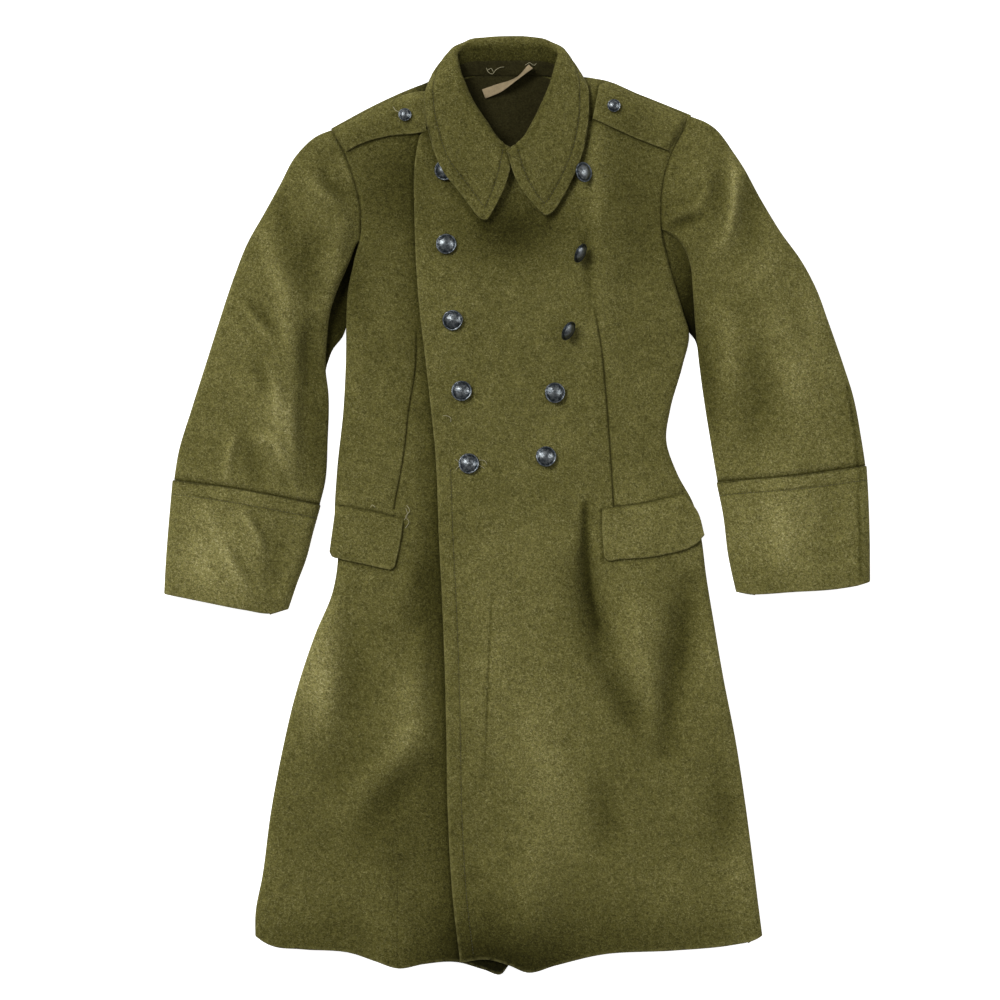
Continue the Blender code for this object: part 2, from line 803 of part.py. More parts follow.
# Back: flat on the surface, a little inside the sides
add_plate(
    "back",
    np.concatenate([
        run_of(BACK_HEM, 12),
        inset_run(LEFT_SIDE, 40, 1, BACK_INSET, span=(0.008, 0.985)),
        run_of(LEFT_SHOULDER, 5, (-0.5, -2.0), backwards=True, span=(0.0, 0.97)),
        run_of(BACK_NECK, 9, span=(0.08, 0.92)),
        run_of(RIGHT_SHOULDER, 5, (0.5, -2.0), backwards=True, span=(0.03, 1.0)),
        inset_run(RIGHT_SIDE, 40, -1, BACK_INSET, backwards=True, span=(0.008, 0.985)),
    ]),
    0.0, CLOTH, WOOL,
)

# Fronts
right_top = smooth_line(RIGHT_SHOULDER + RIGHT_NECK[1:])
left_top = smooth_line(LEFT_NECK + LEFT_SHOULDER[1:])
add_sheet(
    "front_right",
    panel(smooth_line(RIGHT_SIDE), smooth_line(UNDER_EDGE), smooth_line(RIGHT_HEM), right_top,
          plain(right_height), FRONT_ROWS, FRONT_COLUMNS, (BODY_ROLL, None), CLOTH),
    CLOTH, WOOL,
)
add_sheet(
    "front_left",
    panel(smooth_line(OVER_EDGE), smooth_line(LEFT_SIDE), smooth_line(LEFT_HEM), left_top,
          plain(left_height), FRONT_ROWS, FRONT_COLUMNS, (None, BODY_ROLL), CLOTH),
    CLOTH, WOOL,
)

# Sleeves and cuffs, over flat under pieces
for name, left, right, cuff_seam, armhole, folds in (
    ("right", RIGHT_OUTER, RIGHT_INNER, RIGHT_CUFF_SEAM, RIGHT_ARMHOLE, RIGHT_SLEEVE_FOLDS),
    ("left", LEFT_INNER, LEFT_OUTER, LEFT_CUFF_SEAM, LEFT_ARMHOLE, LEFT_SLEEVE_FOLDS),
):
    grid = panel(smooth_line(left), smooth_line(right), smooth_line(cuff_seam), smooth_line(armhole),
                 sleeve_height(folds), SLEEVE_ROWS, SLEEVE_COLUMNS, (SLEEVE_ROLL, SLEEVE_ROLL), CLOTH, 0.0)
    add_sheet("sleeve_" + name + "_top", grid, CLOTH, WOOL)
for name, left, right, hem, cuff_seam in (
    ("right", RIGHT_CUFF_OUTER, RIGHT_CUFF_INNER, RIGHT_CUFF_HEM, RIGHT_CUFF_SEAM),
    ("left", LEFT_CUFF_INNER, LEFT_CUFF_OUTER, LEFT_CUFF_HEM, LEFT_CUFF_SEAM),
):
    lowered = [Edge(p.x, p.y - 1.0) for p in cuff_seam]
    grid = panel(smooth_line(left), smooth_line(right), smooth_line(hem), smooth_line(lowered),
                 cuff_height, CUFF_ROWS, SLEEVE_COLUMNS, (SLEEVE_ROLL, SLEEVE_ROLL), CUFF_CLOTH, 1.0)
    add_sheet("cuff_" + name + "_top", grid, CUFF_CLOTH, WOOL)
    add_plate(
        "cuff_" + name + "_under",
        np.concatenate([
            inset_run(left, 6, -1, BACK_INSET, backwards=True, span=(0.03, 1.0)),
            run_of(hem, 9, (0.0, 2.0), span=(0.03, 0.97)),
            inset_run(right, 6, 1, BACK_INSET, span=(0.03, 1.0)),
        ]),
        0.0, CLOTH, WOOL,
    )
add_plate(
    "sleeve_right_under",
    np.concatenate([
        inset_run(RIGHT_OUTER, 14, -1, BACK_INSET, span=(0.003, 0.985)),
        run_of(RIGHT_ARMHOLE, 8, span=(0.02, 0.98)),
        run_of(RIGHT_WEDGE, 9),
        inset_run(RIGHT_INNER, 6, 1, BACK_INSET, backwards=True, span=(0.003, 0.48)),
    ]),
    0.0, CLOTH, WOOL,
)
add_plate(
    "sleeve_left_under",
    np.concatenate([
        inset_run(LEFT_OUTER, 14, 1, BACK_INSET, span=(0.003, 0.985)),
        run_of(LEFT_ARMHOLE, 8, backwards=True, span=(0.02, 0.98)),
        run_of(LEFT_WEDGE, 9),
        inset_run(LEFT_INNER, 6, -1, BACK_INSET, backwards=True, span=(0.003, 0.43)),
    ]),
    0.0, CLOTH, WOOL,
)

# Collar: the fall runs over the fold and a little way down the inside to meet the stand
STEPS = (6, 6, 7)
ring = collar_grid(COLLAR_SECTIONS, STEPS)
seam_column = 2
stand = ring[:, : seam_column + 1].copy()
fall = ring[:, seam_column:].copy()
toward = ring[:, seam_column + 1] - ring[:, seam_column]
toward = toward / np.linalg.norm(toward, axis=1)[:, None]
stand[:, -1] = stand[:, -1] - toward * SEAM_HALF
fall[:, 0] = fall[:, 0] + toward * SEAM_HALF
add_sheet("collar_stand", stand[:, ::-1], CLOTH, WOOL_INSIDE, even=False)
add_sheet("collar_fall", fall[:, ::-1], CLOTH, WOOL, even=False)


# Flaps and straps are the fronts' points moved out
def laid_on(height):
    return lambda x, y: height(x, y) + CLOTH + LAID_GAP


def ends(low, middle, high):
    """End line of a laid piece from its lower corner to its upper one."""
    return smooth_line([low, middle, high] if middle else [low, high])


for name, low, high, middle, height in (
    ("flap_right", RIGHT_FLAP_LOW, RIGHT_FLAP_TOP, RIGHT_FLAP_ENDS, right_height),
    ("flap_left", LEFT_FLAP_LOW, LEFT_FLAP_TOP, LEFT_FLAP_ENDS, left_height),
    ("strap_right", RIGHT_STRAP_LOW, RIGHT_STRAP_TOP, (None, None), right_height),
    ("strap_left", LEFT_STRAP_LOW, LEFT_STRAP_TOP, (None, None), left_height),
):
    grid = lay(ends(low[0], middle[0], high[0]), ends(low[-1], middle[1], high[-1]),
               smooth_line(low), smooth_line(high), laid_on(height), 5, 9)
    add_sheet(name, grid, CLOTH, WOOL)


def strap_top(height):
    return lambda x, y: height(x, y) + CLOTH + LAID_GAP


for name, row in FRONT_BUTTONS.items():
    add_button(name, row, BUTTON_RADIUS, left_height, shank="_l" in name)
add_button("button_strap_right", STRAP_BUTTONS["button_strap_right"], STRAP_BUTTON_RADIUS,
           strap_top(right_height), shank=False)
add_button("button_strap_left", STRAP_BUTTONS["button_strap_left"], STRAP_BUTTON_RADIUS,
           strap_top(left_height), shank=False)

# Inside the neck
add_plate("neck_lining", NECK_LINING, CLOTH + SEAM, LINING_CLOTH, WOOL_INSIDE)
tape = smooth_line(TAPE_RUN)(np.linspace(0.0, 1.0, 9))
way = np.gradient(tape[:, :2], axis=0)
way = way / np.linalg.norm(way, axis=1)[:, None]
beside = np.stack([-way[:, 1], way[:, 0], 0 * way[:, 0]], axis=1)
tape_grid = np.stack([tape + beside * TAPE_WIDTH * k for k in (-0.5, 0.0, 0.5)], axis=1)
add_sheet("hanger_tape", tape_grid, TAPE_CLOTH, TAPE)
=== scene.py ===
"""Looks of a double-breasted wool greatcoat, buttoned up and laid out face up on a flat surface.

The cloth pieces are thin closed shells on the same tables as the solids. Creases, darts, seams,
stitching and worn edges are added one by one. x runs to the viewer's right, y to the collar, z up.
Tables are in millimetres.
"""

import math
from collections import namedtuple

import bpy
import numpy as np
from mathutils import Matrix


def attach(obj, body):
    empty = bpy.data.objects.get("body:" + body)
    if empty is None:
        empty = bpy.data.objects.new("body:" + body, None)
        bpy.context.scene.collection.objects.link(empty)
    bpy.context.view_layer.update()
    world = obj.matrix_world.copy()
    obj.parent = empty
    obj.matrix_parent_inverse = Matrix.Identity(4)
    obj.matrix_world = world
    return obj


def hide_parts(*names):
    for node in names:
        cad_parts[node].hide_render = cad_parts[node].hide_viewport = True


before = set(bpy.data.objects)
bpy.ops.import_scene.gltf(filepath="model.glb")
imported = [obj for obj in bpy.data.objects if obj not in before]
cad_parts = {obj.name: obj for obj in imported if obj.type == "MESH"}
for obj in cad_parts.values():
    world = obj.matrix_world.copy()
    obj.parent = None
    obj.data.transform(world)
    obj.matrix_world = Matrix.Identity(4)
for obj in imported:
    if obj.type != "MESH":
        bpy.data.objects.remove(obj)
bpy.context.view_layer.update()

MM = 0.001

# Cloth and seams
CLOTH = 2.5
CUFF_CLOTH = 3.6
LINING_CLOTH = 1.2
TAPE_CLOTH = 1.0
SEAM = 0.3
REST = CLOTH + SEAM + CLOTH / 2
BACK_INSET = 2.0
BACK_SHOULDER = (0.0, 1.0)

# Loft of the laid coat, to the middle of the upper cloth
BODY_LOFT = 14.5
BODY_CROWN = 4.5
CROWN_REACH = 80.0
LEAST_LOFT = 6.6
LOFT_SOFT = 1.4
SLEEVE_LOFT = 18.5
SLEEVE_CROWN = 8.0
ARMHOLE_LOFT = 14.5
SLEEVE_HEAD_REACH = 0.16
CUFF_RISE = 2.4
SHOULDER_REACH = 24.0
SHOULDER_EDGE = REST + 0.4

# How the sides roll round: half width of the roll, and the run beneath
BODY_ROLL = 12.0
SLEEVE_ROLL = 16.0
SEAM_ROLL = 1.2
UNDER_RUN = 8.0
SEAM_RUN = 0.6
SQUARE_REACH = 0.3
FULL_TURN = 178
ROLL_EASE_PASSES = 12
ROLL_EASE_REACH = 5.0
HEM_REACH = 0.06

# The over front lies on the under front
LAP_LIFT = 3.3
LAP_SINK = 3.0
LAP_FADE = 60.0
LAP_DIP = 3.6
LAP_DIP_AT = 11.0
LAP_DIP_WIDTH = 15.0
# Painted shadow on the under front beside the over front's edge: a thin line, then a wide band
LAP_LINE = 0.4
LAP_LINE_REACH = 4.0
LAP_SHADE = 0.4
LAP_SHADE_LOW = 0.16
LAP_SHADE_REACH = 24.0
FACING_DIP = 0.7
FACING_WIDTH = 2.2
FACING_TOP = 50.0
EDGE_DIP = 0.9
EDGE_DIP_WIDTH = 3.5

# Collar
SEAM_HALF = 0.8
ROLL_FRONT = 5.5
ROLL_BACK = 4.0
FOLD_FRONT = 30.0
FALL_LIFT = 7.5
BUTTON_LIFT = 8.0
BUTTON_SPREAD = 26.0

# What lies on the fronts
LAID_GAP = 0.9
BUTTON_RADIUS = 13.0
STRAP_BUTTON_RADIUS = 8.2
BUTTON_GAP = 0.35
TIPPED = 20
# Painted highlight on the dome and painted shade on the rim of buttons tipped further than TIPPED
TIPPED_PAINTED_LIGHT = 0.7
TAPE_WIDTH = 11.5

# Steps of the sections
FRONT_ROWS = 220
FLAP_ROW = 0.525
SLEEVE_ROWS = 110
SLEEVE_COLUMNS = 74
CUFF_ROWS = 40
CUFF_LINE = 0.875
ROLL_STEPS = 14
COLLAR_SECTIONS = 230
COLLAR_STEPS = (14, 14, 56)
SEAM_COLUMN = 5
POINT_ROUND = 15.0
POINT_SHARE = 0.026
END_BOW = 8.0
END_BOW_SHARE = 0.075
END_LAP = 4.0
END_LAP_SHARE = 0.045

Edge = namedtuple("Edge", "x y")
Side = namedtuple("Side", "x y turn")
Fold = namedtuple("Fold", "x0 y0 x1 y1 x2 y2 width height")
Collar = namedtuple("Collar", "neck_x neck_y fold_x fold_y edge_x edge_y angle")
Button = namedtuple("Button", "x y tilt lean")
Crease = namedtuple("Crease", "points width height")
Spot = namedtuple("Spot", "x y reach_x reach_y tone")


def edges(*places):
    """Rows of an edge line from its points."""
    return [Edge(*place) for place in places]


def sides(*places):
    """Rows of a side line; the cloth turns all the way under where no turn is given."""
    return [Side(x, y, *(turn or [FULL_TURN])) for x, y, *turn in places]


def end_rows(low, middle, high):
    """Rows of a laid piece's end, from its lower corner to its upper one."""
    return [low, middle, high] if middle else [low, high]


# Wearer's right side from hem to shoulder point: silhouette, and how far the cloth turns under
RIGHT_SIDE = sides(
    (-333, -547), (-333, -520), (-324, -470), (-314, -394), (-300, -318), (-282, -241), (-257, -165),
    (-234, -108), (-228, -68), (-232, -20), (-229, 44), (-221, 121), (-218, 178), (-217, 235, 150),
    (-215, 271, 110), (-207, 309, 60), (-198, 342, 26), (-198, 377, 24), (-207, 415, 24), (-218, 446, 24),
    (-236, 478, 24),
)
# Wearer's left side from hem to shoulder point
LEFT_SIDE = sides(
    (312, -547), (307, -508), (300, -451), (290, -375), (278, -298), (263, -222), (250, -146), (240, -83),
    (235, -44), (225, 0), (203, 42), (190, 83), (195, 121), (211, 178), (219, 218, 165), (211, 246, 130),
    (201, 279, 100), (191, 314, 50), (183, 342, 26), (182, 372, 24), (187, 420, 24), (196, 447, 24),
    (221, 495, 24),
)
# Free edge of the over front, hem to top
OVER_EDGE = edges(
    (-72, -580), (-81, -505), (-88, -387), (-90, -273), (-94, -146), (-99, -44), (-103, 57), (-114, 165),
    (-126, 273), (-130, 362), (-129, 440), (-124, 468),
)
# Hidden edge of the under front, hem to top
UNDER_EDGE = edges(
    (-11, -584), (-3, -502), (17, -324), (39, -121), (64, 52), (95, 234), (108, 330), (110, 400), (106, 449),
)
RIGHT_HEM = edges(
    (-333, -547), (-318, -558), (-272, -564), (-211, -568), (-180, -578), (-150, -587), (-119, -582),
    (-74, -580), (-43, -589), (-20, -595), (-11, -584),
)
LEFT_HEM = edges(
    (-72, -580), (-38, -576), (-10, -583), (13, -592), (48, -584), (109, -570), (201, -565), (277, -558),
    (305, -552), (312, -547),
)
BACK_HEM = edges((-329, -543), (-260, -556), (-150, -570), (-40, -572), (60, -570), (200, -557), (308, -543))
RIGHT_SHOULDER = edges((-236, 478), (-174, 511), (-123, 533), (-97, 541))
LEFT_SHOULDER = edges((77, 541), (105, 540), (156, 521), (221, 495))
# Neck line of the under front, shoulder to its hidden edge
RIGHT_NECK = edges((-97, 541), (-85, 508), (-65, 474), (-37, 446), (-8, 431), (50, 438), (106, 449))
# Neck line of the over front, free edge to shoulder
LEFT_NECK = edges(
    (-124, 468), (-113, 475), (-90, 469), (-53, 440), (-11, 428), (22, 436), (48, 472), (67, 508), (77, 541),
)
BACK_NECK = edges((77, 541), (55, 548), (-11, 549), (-75, 548), (-97, 541))

# Sleeves: edges from the cuff seam up to the armhole
RIGHT_OUTER = sides(
    (-436, 33), (-431, 64), (-414, 121), (-396, 178), (-378, 235), (-359, 292), (-344, 330), (-323, 368),
    (-302, 406), (-281, 444), (-259, 466, 150), (-238, 478, 120),
)
RIGHT_INNER = sides(
    (-250, 1), (-244, 25), (-240, 83), (-239, 140), (-243, 178), (-241, 210), (-237, 245, 160),
    (-228, 273, 120), (-215, 303, 70), (-201, 341, 30),
)
RIGHT_ARMHOLE = edges((-237, 478), (-219, 446), (-208, 415), (-199, 377), (-200, 341))
RIGHT_CUFF_SEAM = edges((-436, 33), (-358, 22), (-250, 1))
LEFT_OUTER = sides(
    (443, 51), (438, 83), (427, 140), (415, 178), (395, 235), (381, 273), (361, 311), (335, 347), (311, 387),
    (278, 444), (249, 481, 150), (224, 495, 120),
)
LEFT_INNER = sides(
    (254, 30), (245, 83), (236, 140), (230, 187), (226, 229), (223, 273, 160), (220, 305, 120), (209, 331, 70),
    (186, 352, 30),
)
LEFT_ARMHOLE = edges((185, 352), (183, 374), (188, 420), (197, 447), (222.5, 495))
LEFT_CUFF_SEAM = edges((254, 30), (348, 38), (443, 51))
# Cuffs: edges from the hem up to the cuff seam
RIGHT_CUFF_OUTER = sides((-448.3, -113), (-446, -70), (-442, -19), (-437.5, 32))
RIGHT_CUFF_INNER = sides((-290.5, -132), (-279, -99), (-268, -70), (-258.5, -34), (-249, 0))
RIGHT_CUFF_HEM = edges((-448.3, -113), (-396, -123), (-345, -133), (-313, -137.8), (-299, -136), (-290.5, -132))
LEFT_CUFF_OUTER = sides((448.3, -97.5), (448, -44), (446.5, 6), (444, 50))
LEFT_CUFF_INNER = sides((278, -110.5), (268, -65), (261.5, -13), (253, 29))
LEFT_CUFF_HEM = edges(
    (278, -110.5), (283, -113.2), (292, -113.5), (350, -110.2), (403, -106.8), (430, -102.8), (441, -100.8),
    (448.3, -97.5),
)
# Under sleeves where they show in the armpit: body side down to the inner sleeve edge
RIGHT_WEDGE = edges(
    (-198.6, 341), (-205, 309), (-213, 271), (-215.4, 235), (-221, 216), (-235, 197), (-242, 178),
)
LEFT_WEDGE = edges((179.5, 344), (187.5, 316), (198, 281), (208.5, 248), (217, 222), (226, 211), (231, 195))

# Largest folds of the fronts: the run of each, its half width and its height
BODY_FOLDS = [
    Fold(-236, -106, -256, -180, -232, -290, 22, 5.0),
    Fold(-205, -165, -203, -250, -228, -330, 24, -5.5),
    Fold(-118, -90, -126, -140, -140, -190, 18, -4.5),
    Fold(84, -84, 102, -175, 142, -262, 22, -6.0),
    Fold(220, -105, 198, -210, 192, -305, 22, -6.0),
    Fold(243, -150, 254, -200, 262, -250, 18, 3.0),
    Fold(-150, -590, -160, -520, -185, -430, 38, 5.0),
    Fold(14, -595, 16, -520, 30, -440, 36, 4.5),
    Fold(120, 430, 108, 330, 100, 230, 34, 3.0),
]
RIGHT_SLEEVE_FOLDS = [
    Fold(-320, 160, -300, 90, -290, 20, 30, 3.5),
    Fold(-262, 210, -270, 120, -272, 40, 20, -4.0),
]
LEFT_SLEEVE_FOLDS = [
    Fold(276, 420, 300, 330, 330, 250, 30, 3.5),
    Fold(192, 366, 220, 378, 250, 400, 14, -3.0),
]

# The collar by sections from the wearer's right front end round the back to the left front end:
# neck seam, fold and outer edge in plan, and the way that the fold faces about the neck
COLLAR_ROWS = [
    Collar(-12, 431, -3, 447, -40, 351, 0),
    Collar(-30, 444, -23, 462, -68, 389, 6),
    Collar(-48, 464, -39, 485, -94.5, 423, 12),
    Collar(-64, 488, -55, 509, -109, 461, 22),
    Collar(-75, 510, -66, 533, -117, 499, 38),
    Collar(-80, 528, -74, 556, -115, 527, 62),
    Collar(-77, 540, -77, 577, -103, 552, 100),
    Collar(-64, 546, -64, 589, -74, 558, 150),
    Collar(-38, 547, -39, 594, -40, 554, 174),
    Collar(-10, 547, -11, 595.5, -11, 553, 180),
    Collar(18, 547, 18, 594.5, 20, 554, 186),
    Collar(42, 546, 41, 589, 50, 558, 210),
    Collar(56, 540, 54, 577, 76, 552, 260),
    Collar(58, 527, 49, 557, 88, 533, 298),
    Collar(52, 506, 43, 535, 91, 504, 322),
    Collar(40, 483, 33, 511, 89, 474, 338),
    Collar(23, 461, 20, 484, 80, 436, 348),
    Collar(8, 444, 6, 462, 62, 396, 354),
    Collar(-6, 432, -14, 446.5, 38, 357, 360),
]

# Pocket flaps and shoulder straps in plan: lower edge, upper edge and the two ends
RIGHT_FLAP_TOP = edges((-230, 0), (-185, -8), (-144, -18))
RIGHT_FLAP_LOW = edges(
    (-238, -59), (-235, -65), (-224, -68.5), (-190, -76), (-169, -80.8), (-160, -81.8), (-155, -78.5),
)
RIGHT_FLAP_ENDS = edges((-234, -30), (-148, -48))
LEFT_FLAP_TOP = edges((108, -5), (160, 2), (211, 14))
LEFT_FLAP_LOW = edges((110.5, -66), (114.5, -70), (130, -69), (184, -63.5), (230, -47), (238, -38))
LEFT_FLAP_ENDS = edges((108, -34), (229, -8))
RIGHT_STRAP_LOW = edges((-216.5, 448), (-197, 458), (-165, 467), (-126, 471), (-114.5, 473))
RIGHT_STRAP_TOP = edges((-233, 477), (-180, 504), (-129, 524), (-115, 525))
LEFT_STRAP_LOW = edges((95.5, 489), (145, 467), (193, 449))
LEFT_STRAP_TOP = edges((104, 532), (111, 536), (156, 518), (218, 493))

# Buttons: place, tilt of the shank from upright, and the way it leans about z
FRONT_BUTTONS = {
    "button_front_r1": Button(-91, 424, 8, 180),
    "button_front_r2": Button(-90, 330, 6, 60),
    "button_front_r3": Button(-81, 234, 8, 200),
    "button_front_r4": Button(-70, 144, 6, 120),
    "button_front_r5": Button(-61, 52, 6, 100),
    "button_front_l1": Button(81, 420, 38, 8),
    "button_front_l2": Button(76, 320, 64, -27),
    "button_front_l3": Button(61, 222, 60, -30),
    "button_front_l4": Button(47, 142, 10, 0),
    "button_front_l5": Button(36, 61, 8, 30),
}
STRAP_BUTTONS = {
    "button_strap_right": Button(-142, 494, 6, 90),
    "button_strap_left": Button(122.5, 505, 6, 90),
}
# Turned profile of a button as shares of its radius: radius and height above the cloth.
# The shanks of the fastened row pass through the buttonholes, so those lie on their backs.
SHANK = edges((0.0, 0.0), (0.24, 0.0), (0.24, 0.24))
BUTTON_BACK = Edge(0.0, 0.26)
BUTTON_PROFILE = edges((0.88, 0.28), (1.0, 0.38), (0.95, 0.46), (0.86, 0.46), (0.52, 0.66), (0.0, 0.76))
NECK_LINING = edges((-84, 415), (62, 415), (62, 500), (54, 538), (40, 543), (-62, 543), (-76, 538), (-84, 500))
# Run of the tape from its sewn end, with its height and how far it is twisted on edge
TAPE_RUN = [
    (17, 557, 11.2, 48),
    (3, 544, 11.0, 72),
    (-9, 536.5, 10.0, 58),
    (-24, 529.5, 7.4, 20),
    (-42, 523, 5.2, 2),
]
# The same button in finer steps: radius, height and how far it is rubbed bright; below zero it is darker, blackened
# in the groove, and blackened with painted shade on the rim's outer side
FINE_SHANK = [(0.0, 0.0, 0.0), (0.22, 0.0, 0.0), (0.24, 0.02, 0.0), (0.24, 0.22, 0.0), (0.3, 0.265, 0.0)]
FINE_BACK = (0.0, 0.265, 0.0)
FINE_PROFILE = [
    (0.6, 0.265, 0.0),
    (0.86, 0.28, 0.0),
    (0.94, 0.305, -0.6),
    (0.985, 0.345, -0.8),
    (1.0, 0.39, -0.8),
    (0.99, 0.43, -0.3),
    (0.955, 0.46, 0.7),
    (0.91, 0.455, 0.5),
    (0.87, 0.43, -0.8),
    (0.84, 0.425, -0.8),
    (0.8, 0.455, -0.4),
    (0.7, 0.53, 0.1),
    (0.56, 0.615, 0.5),
    (0.4, 0.685, 0.6),
    (0.22, 0.735, 0.6),
    (0.1, 0.755, 0.6),
    (0.0, 0.76, 0.6),
]

# Camera: straight above, the picture's width on the coat and the level that it holds for
CAMERA_X = -21.6
CAMERA_Y = 6.35
CAMERA_RISE = 4000.0
CAMERA_SPAN = 1270.0
CAMERA_LEVEL = 12.0

# Fine cloth
FOLD_GAIN = 1.5
CREASE_GAIN = 1.9
# Painted light on the ridges and painted shade in the troughs of the folds and creases
FOLD_PAINTED_SHADE = 0.05
CREASE_PAINTED_SHADE = 0.1
DART_DEPTH = 2.0
DART_WIDTH = 1.5
DART_SOFT = 9.0
DART_SOFT_DEPTH = 0.8
DART_FADE = 0.1
RIGHT_DART_SHARE = 0.277
LEFT_DART_SHARE = 0.676
SEAM_DIP = 1.5
SEAM_SOFT = 4.5
ARMHOLE_TUCK = 4.6
ARMHOLE_TUCK_REACH = 9.0
ARMHOLE_SINK = 4.5
ARMHOLE_SINK_REACH = 3.2
CREASE_HEAD = 0.06
SLEEVE_RUN = 430.0
CUFF_SEAM_DIP = 2.6
CUFF_SEAM_REACH = 4.5
CUFF_LINE_DIP = 0.8
CUFF_LINE_WIDTH = 0.018
RIM_REACH = 2.6
FLAP_SEAM = 1.9
FLAP_DIP = 2.4
TUCK = 1.2
# Under sleeves: points along the outer edge, the head, the wedge and the inner edge, then the wedge's
# painted light and shade and its rise from the armhole down; the rest of each under sleeve has painted deep shade
UNDER_COUNTS = (60, 24, 30, 24)
ARMPIT_STEPS = (0.0, 0.35, 0.7, 1.0)
RIGHT_WEDGE_PAINTED_SHADES = (0.3, 0.22, 0.2, 0.3)
LEFT_WEDGE_PAINTED_LIGHT_AND_SHADE = (1.3, 0.42, 0.07, 0.02)
UNDER_SLEEVE_PAINTED_SHADE = 0.1
ARMPIT_RISES = (8.5, 7.0, 2.5, 0.0)
# Stitching
STITCH = 2.7
STITCH_GAP = 1.1
STITCH_LIFT = 0.1
THREAD = 0.32
LOOSE_THREAD = 0.36
THREAD_SIDES = 6
THREAD_TAPER = 0.35
COLLAR_STITCH_INSET = 15.0
COLLAR_PRESS = 0.9
COLLAR_PRESS_WIDTH = 2.0
# Painted shade on the collar along its stitching, on the right end beside the left end's edge, and inside the neck;
# COLLAR_TONE darkens the whole collar
COLLAR_PRESS_SHADE = 0.34
COLLAR_TONE = 0.92
COLLAR_LAP_SHADE = 0.62
COLLAR_LAP_REACH = 2.6
NECK_SHADE_BACK = 0.62
NECK_SHADE_FRONT = 0.2
FRONT_STITCH_INSET = 18.0

# Painted light and shade in broad spots, lighter where the tone is above one: middle, reach and tone
PAINTED_LIGHT_SPOTS = [
    Spot(-20, -602, 165, 98, 0.1),
    Spot(-275, -556, 110, 42, 0.7),
    Spot(220, -556, 120, 42, 0.7),
    Spot(-165, -420, 90, 120, 0.6),
    Spot(-262, -210, 40, 70, 1.55),
    Spot(290, -420, 26, 130, 1.3),
    Spot(150, -420, 110, 110, 0.94),
    Spot(-165, 400, 50, 70, 0.54),
    Spot(140, 370, 60, 110, 0.6),
    Spot(-175, 165, 45, 110, 0.9),
    Spot(-208, 285, 24, 46, 0.66),
    Spot(-370, -60, 80, 80, 1.56),
    Spot(360, -20, 90, 80, 1.55),
    Spot(-330, 180, 80, 150, 1.08),
    Spot(-385, 180, 30, 130, 1.08),
    Spot(-250, 95, 18, 110, 0.84),
    Spot(340, 200, 80, 150, 1.04),
    Spot(398, 190, 30, 140, 1.22),
    Spot(0, -140, 120, 140, 1.08),
    Spot(92, -150, 20, 60, 0.8),
    Spot(-112, -128, 16, 70, 0.62),
    Spot(-252, 105, 14, 90, 0.86),
    Spot(170, -30, 60, 40, 1.2),
]

# Painted shade on the fronts under the collar's points
UNDER_POINTS_PAINTED_SHADE = Spot(-10, 350, 72, 46, 0.28)

# Smaller creases of the fronts: points of each run, half width and height
BODY_CREASES = [
    Crease([(-95, -315), (-149, -362), (-199, -425)], 17, -2.4),
    Crease([(-110, -273), (-168, -330), (-225, -394)], 18, 2.0),
    Crease([(108, -349), (113, -398), (112, -440)], 17, -2.0),
    Crease([(260, -337), (264, -386), (268, -438)], 20, -2.6),
    Crease([(156, -121), (156, -197), (169, -273)], 28, 2.2),
    Crease([(90, 0), (86, -57), (93, -127), (105, -178)], 9, -2.6),
    Crease([(88, 8), (86, -40), (89, -92), (97, -140)], 5.5, -1.6),
    Crease([(121, -222), (140, -254), (156, -298)], 15, -2.8),
    Crease([(220, -95), (209, -171), (192, -273), (187, -324)], 11, -2.0),
    Crease([(88, 352), (91, 300), (95, 250)], 8, -2.4),
    Crease([(104, 470), (101, 410), (102, 350)], 12, 1.8),
    Crease([(-130, -180), (-140, -260), (-150, -320)], 22, 2.0),
    Crease([(20, -230), (40, -330), (60, -430)], 40, 1.6),
    Crease([(-30, -40), (-36, -180), (-40, -300)], 34, 1.2),
    Crease([(-32, -108), (-36, -210), (-39, -297), (-41, -333)], 2.0, -0.9),
]
RIGHT_SLEEVE_CREASES = [
    Crease([(-326, 362), (-310, 312), (-296, 268), (-288, 212), (-276, 161)], 13, 2.5),
    Crease([(-219, 372), (-229, 305), (-248, 240)], 13, 2.1),
    Crease([(-258, 350), (-266, 305), (-264, 262)], 14, -2.6),
    Crease([(-296, 390), (-290, 345), (-280, 300)], 13, -2.2),
    Crease([(-352, 256), (-331, 232), (-308, 204)], 4.2, 2.0),
    Crease([(-340, 258), (-320, 236), (-302, 214)], 7, -2.2),
    Crease([(-360, 228), (-338, 204)], 4.5, 1.2),
    Crease([(-331, 184), (-323, 164), (-315, 138)], 8, -2.2),
    Crease([(-309, 165), (-301, 137), (-296, 108)], 6, 1.6),
    Crease([(-284, 150), (-286, 100), (-279, 44)], 10, 2.8),
    Crease([(-337, 84), (-308, 80), (-293, 46), (-276, 10)], 6.5, 2.5),
    Crease([(-346, 90), (-333, 56), (-320, 14)], 11, -2.0),
    Crease([(-304, 58), (-293, 34), (-282, 10)], 7, -1.6),
    Crease([(-355, 94), (-363, 68), (-368, 28)], 6, 2.2),
    Crease([(-314, 150), (-307, 128), (-300, 88)], 7, 1.5),
    Crease([(-246, 430), (-238, 406), (-218, 392)], 7, -2.0),
    Crease([(-264, 420), (-250, 396), (-226, 380)], 8, 1.8),
    Crease([(-222, 440), (-214, 418), (-206, 400)], 6, 1.6),
    Crease([(-262, 240), (-268, 190), (-264, 150)], 9, -2.0),
]
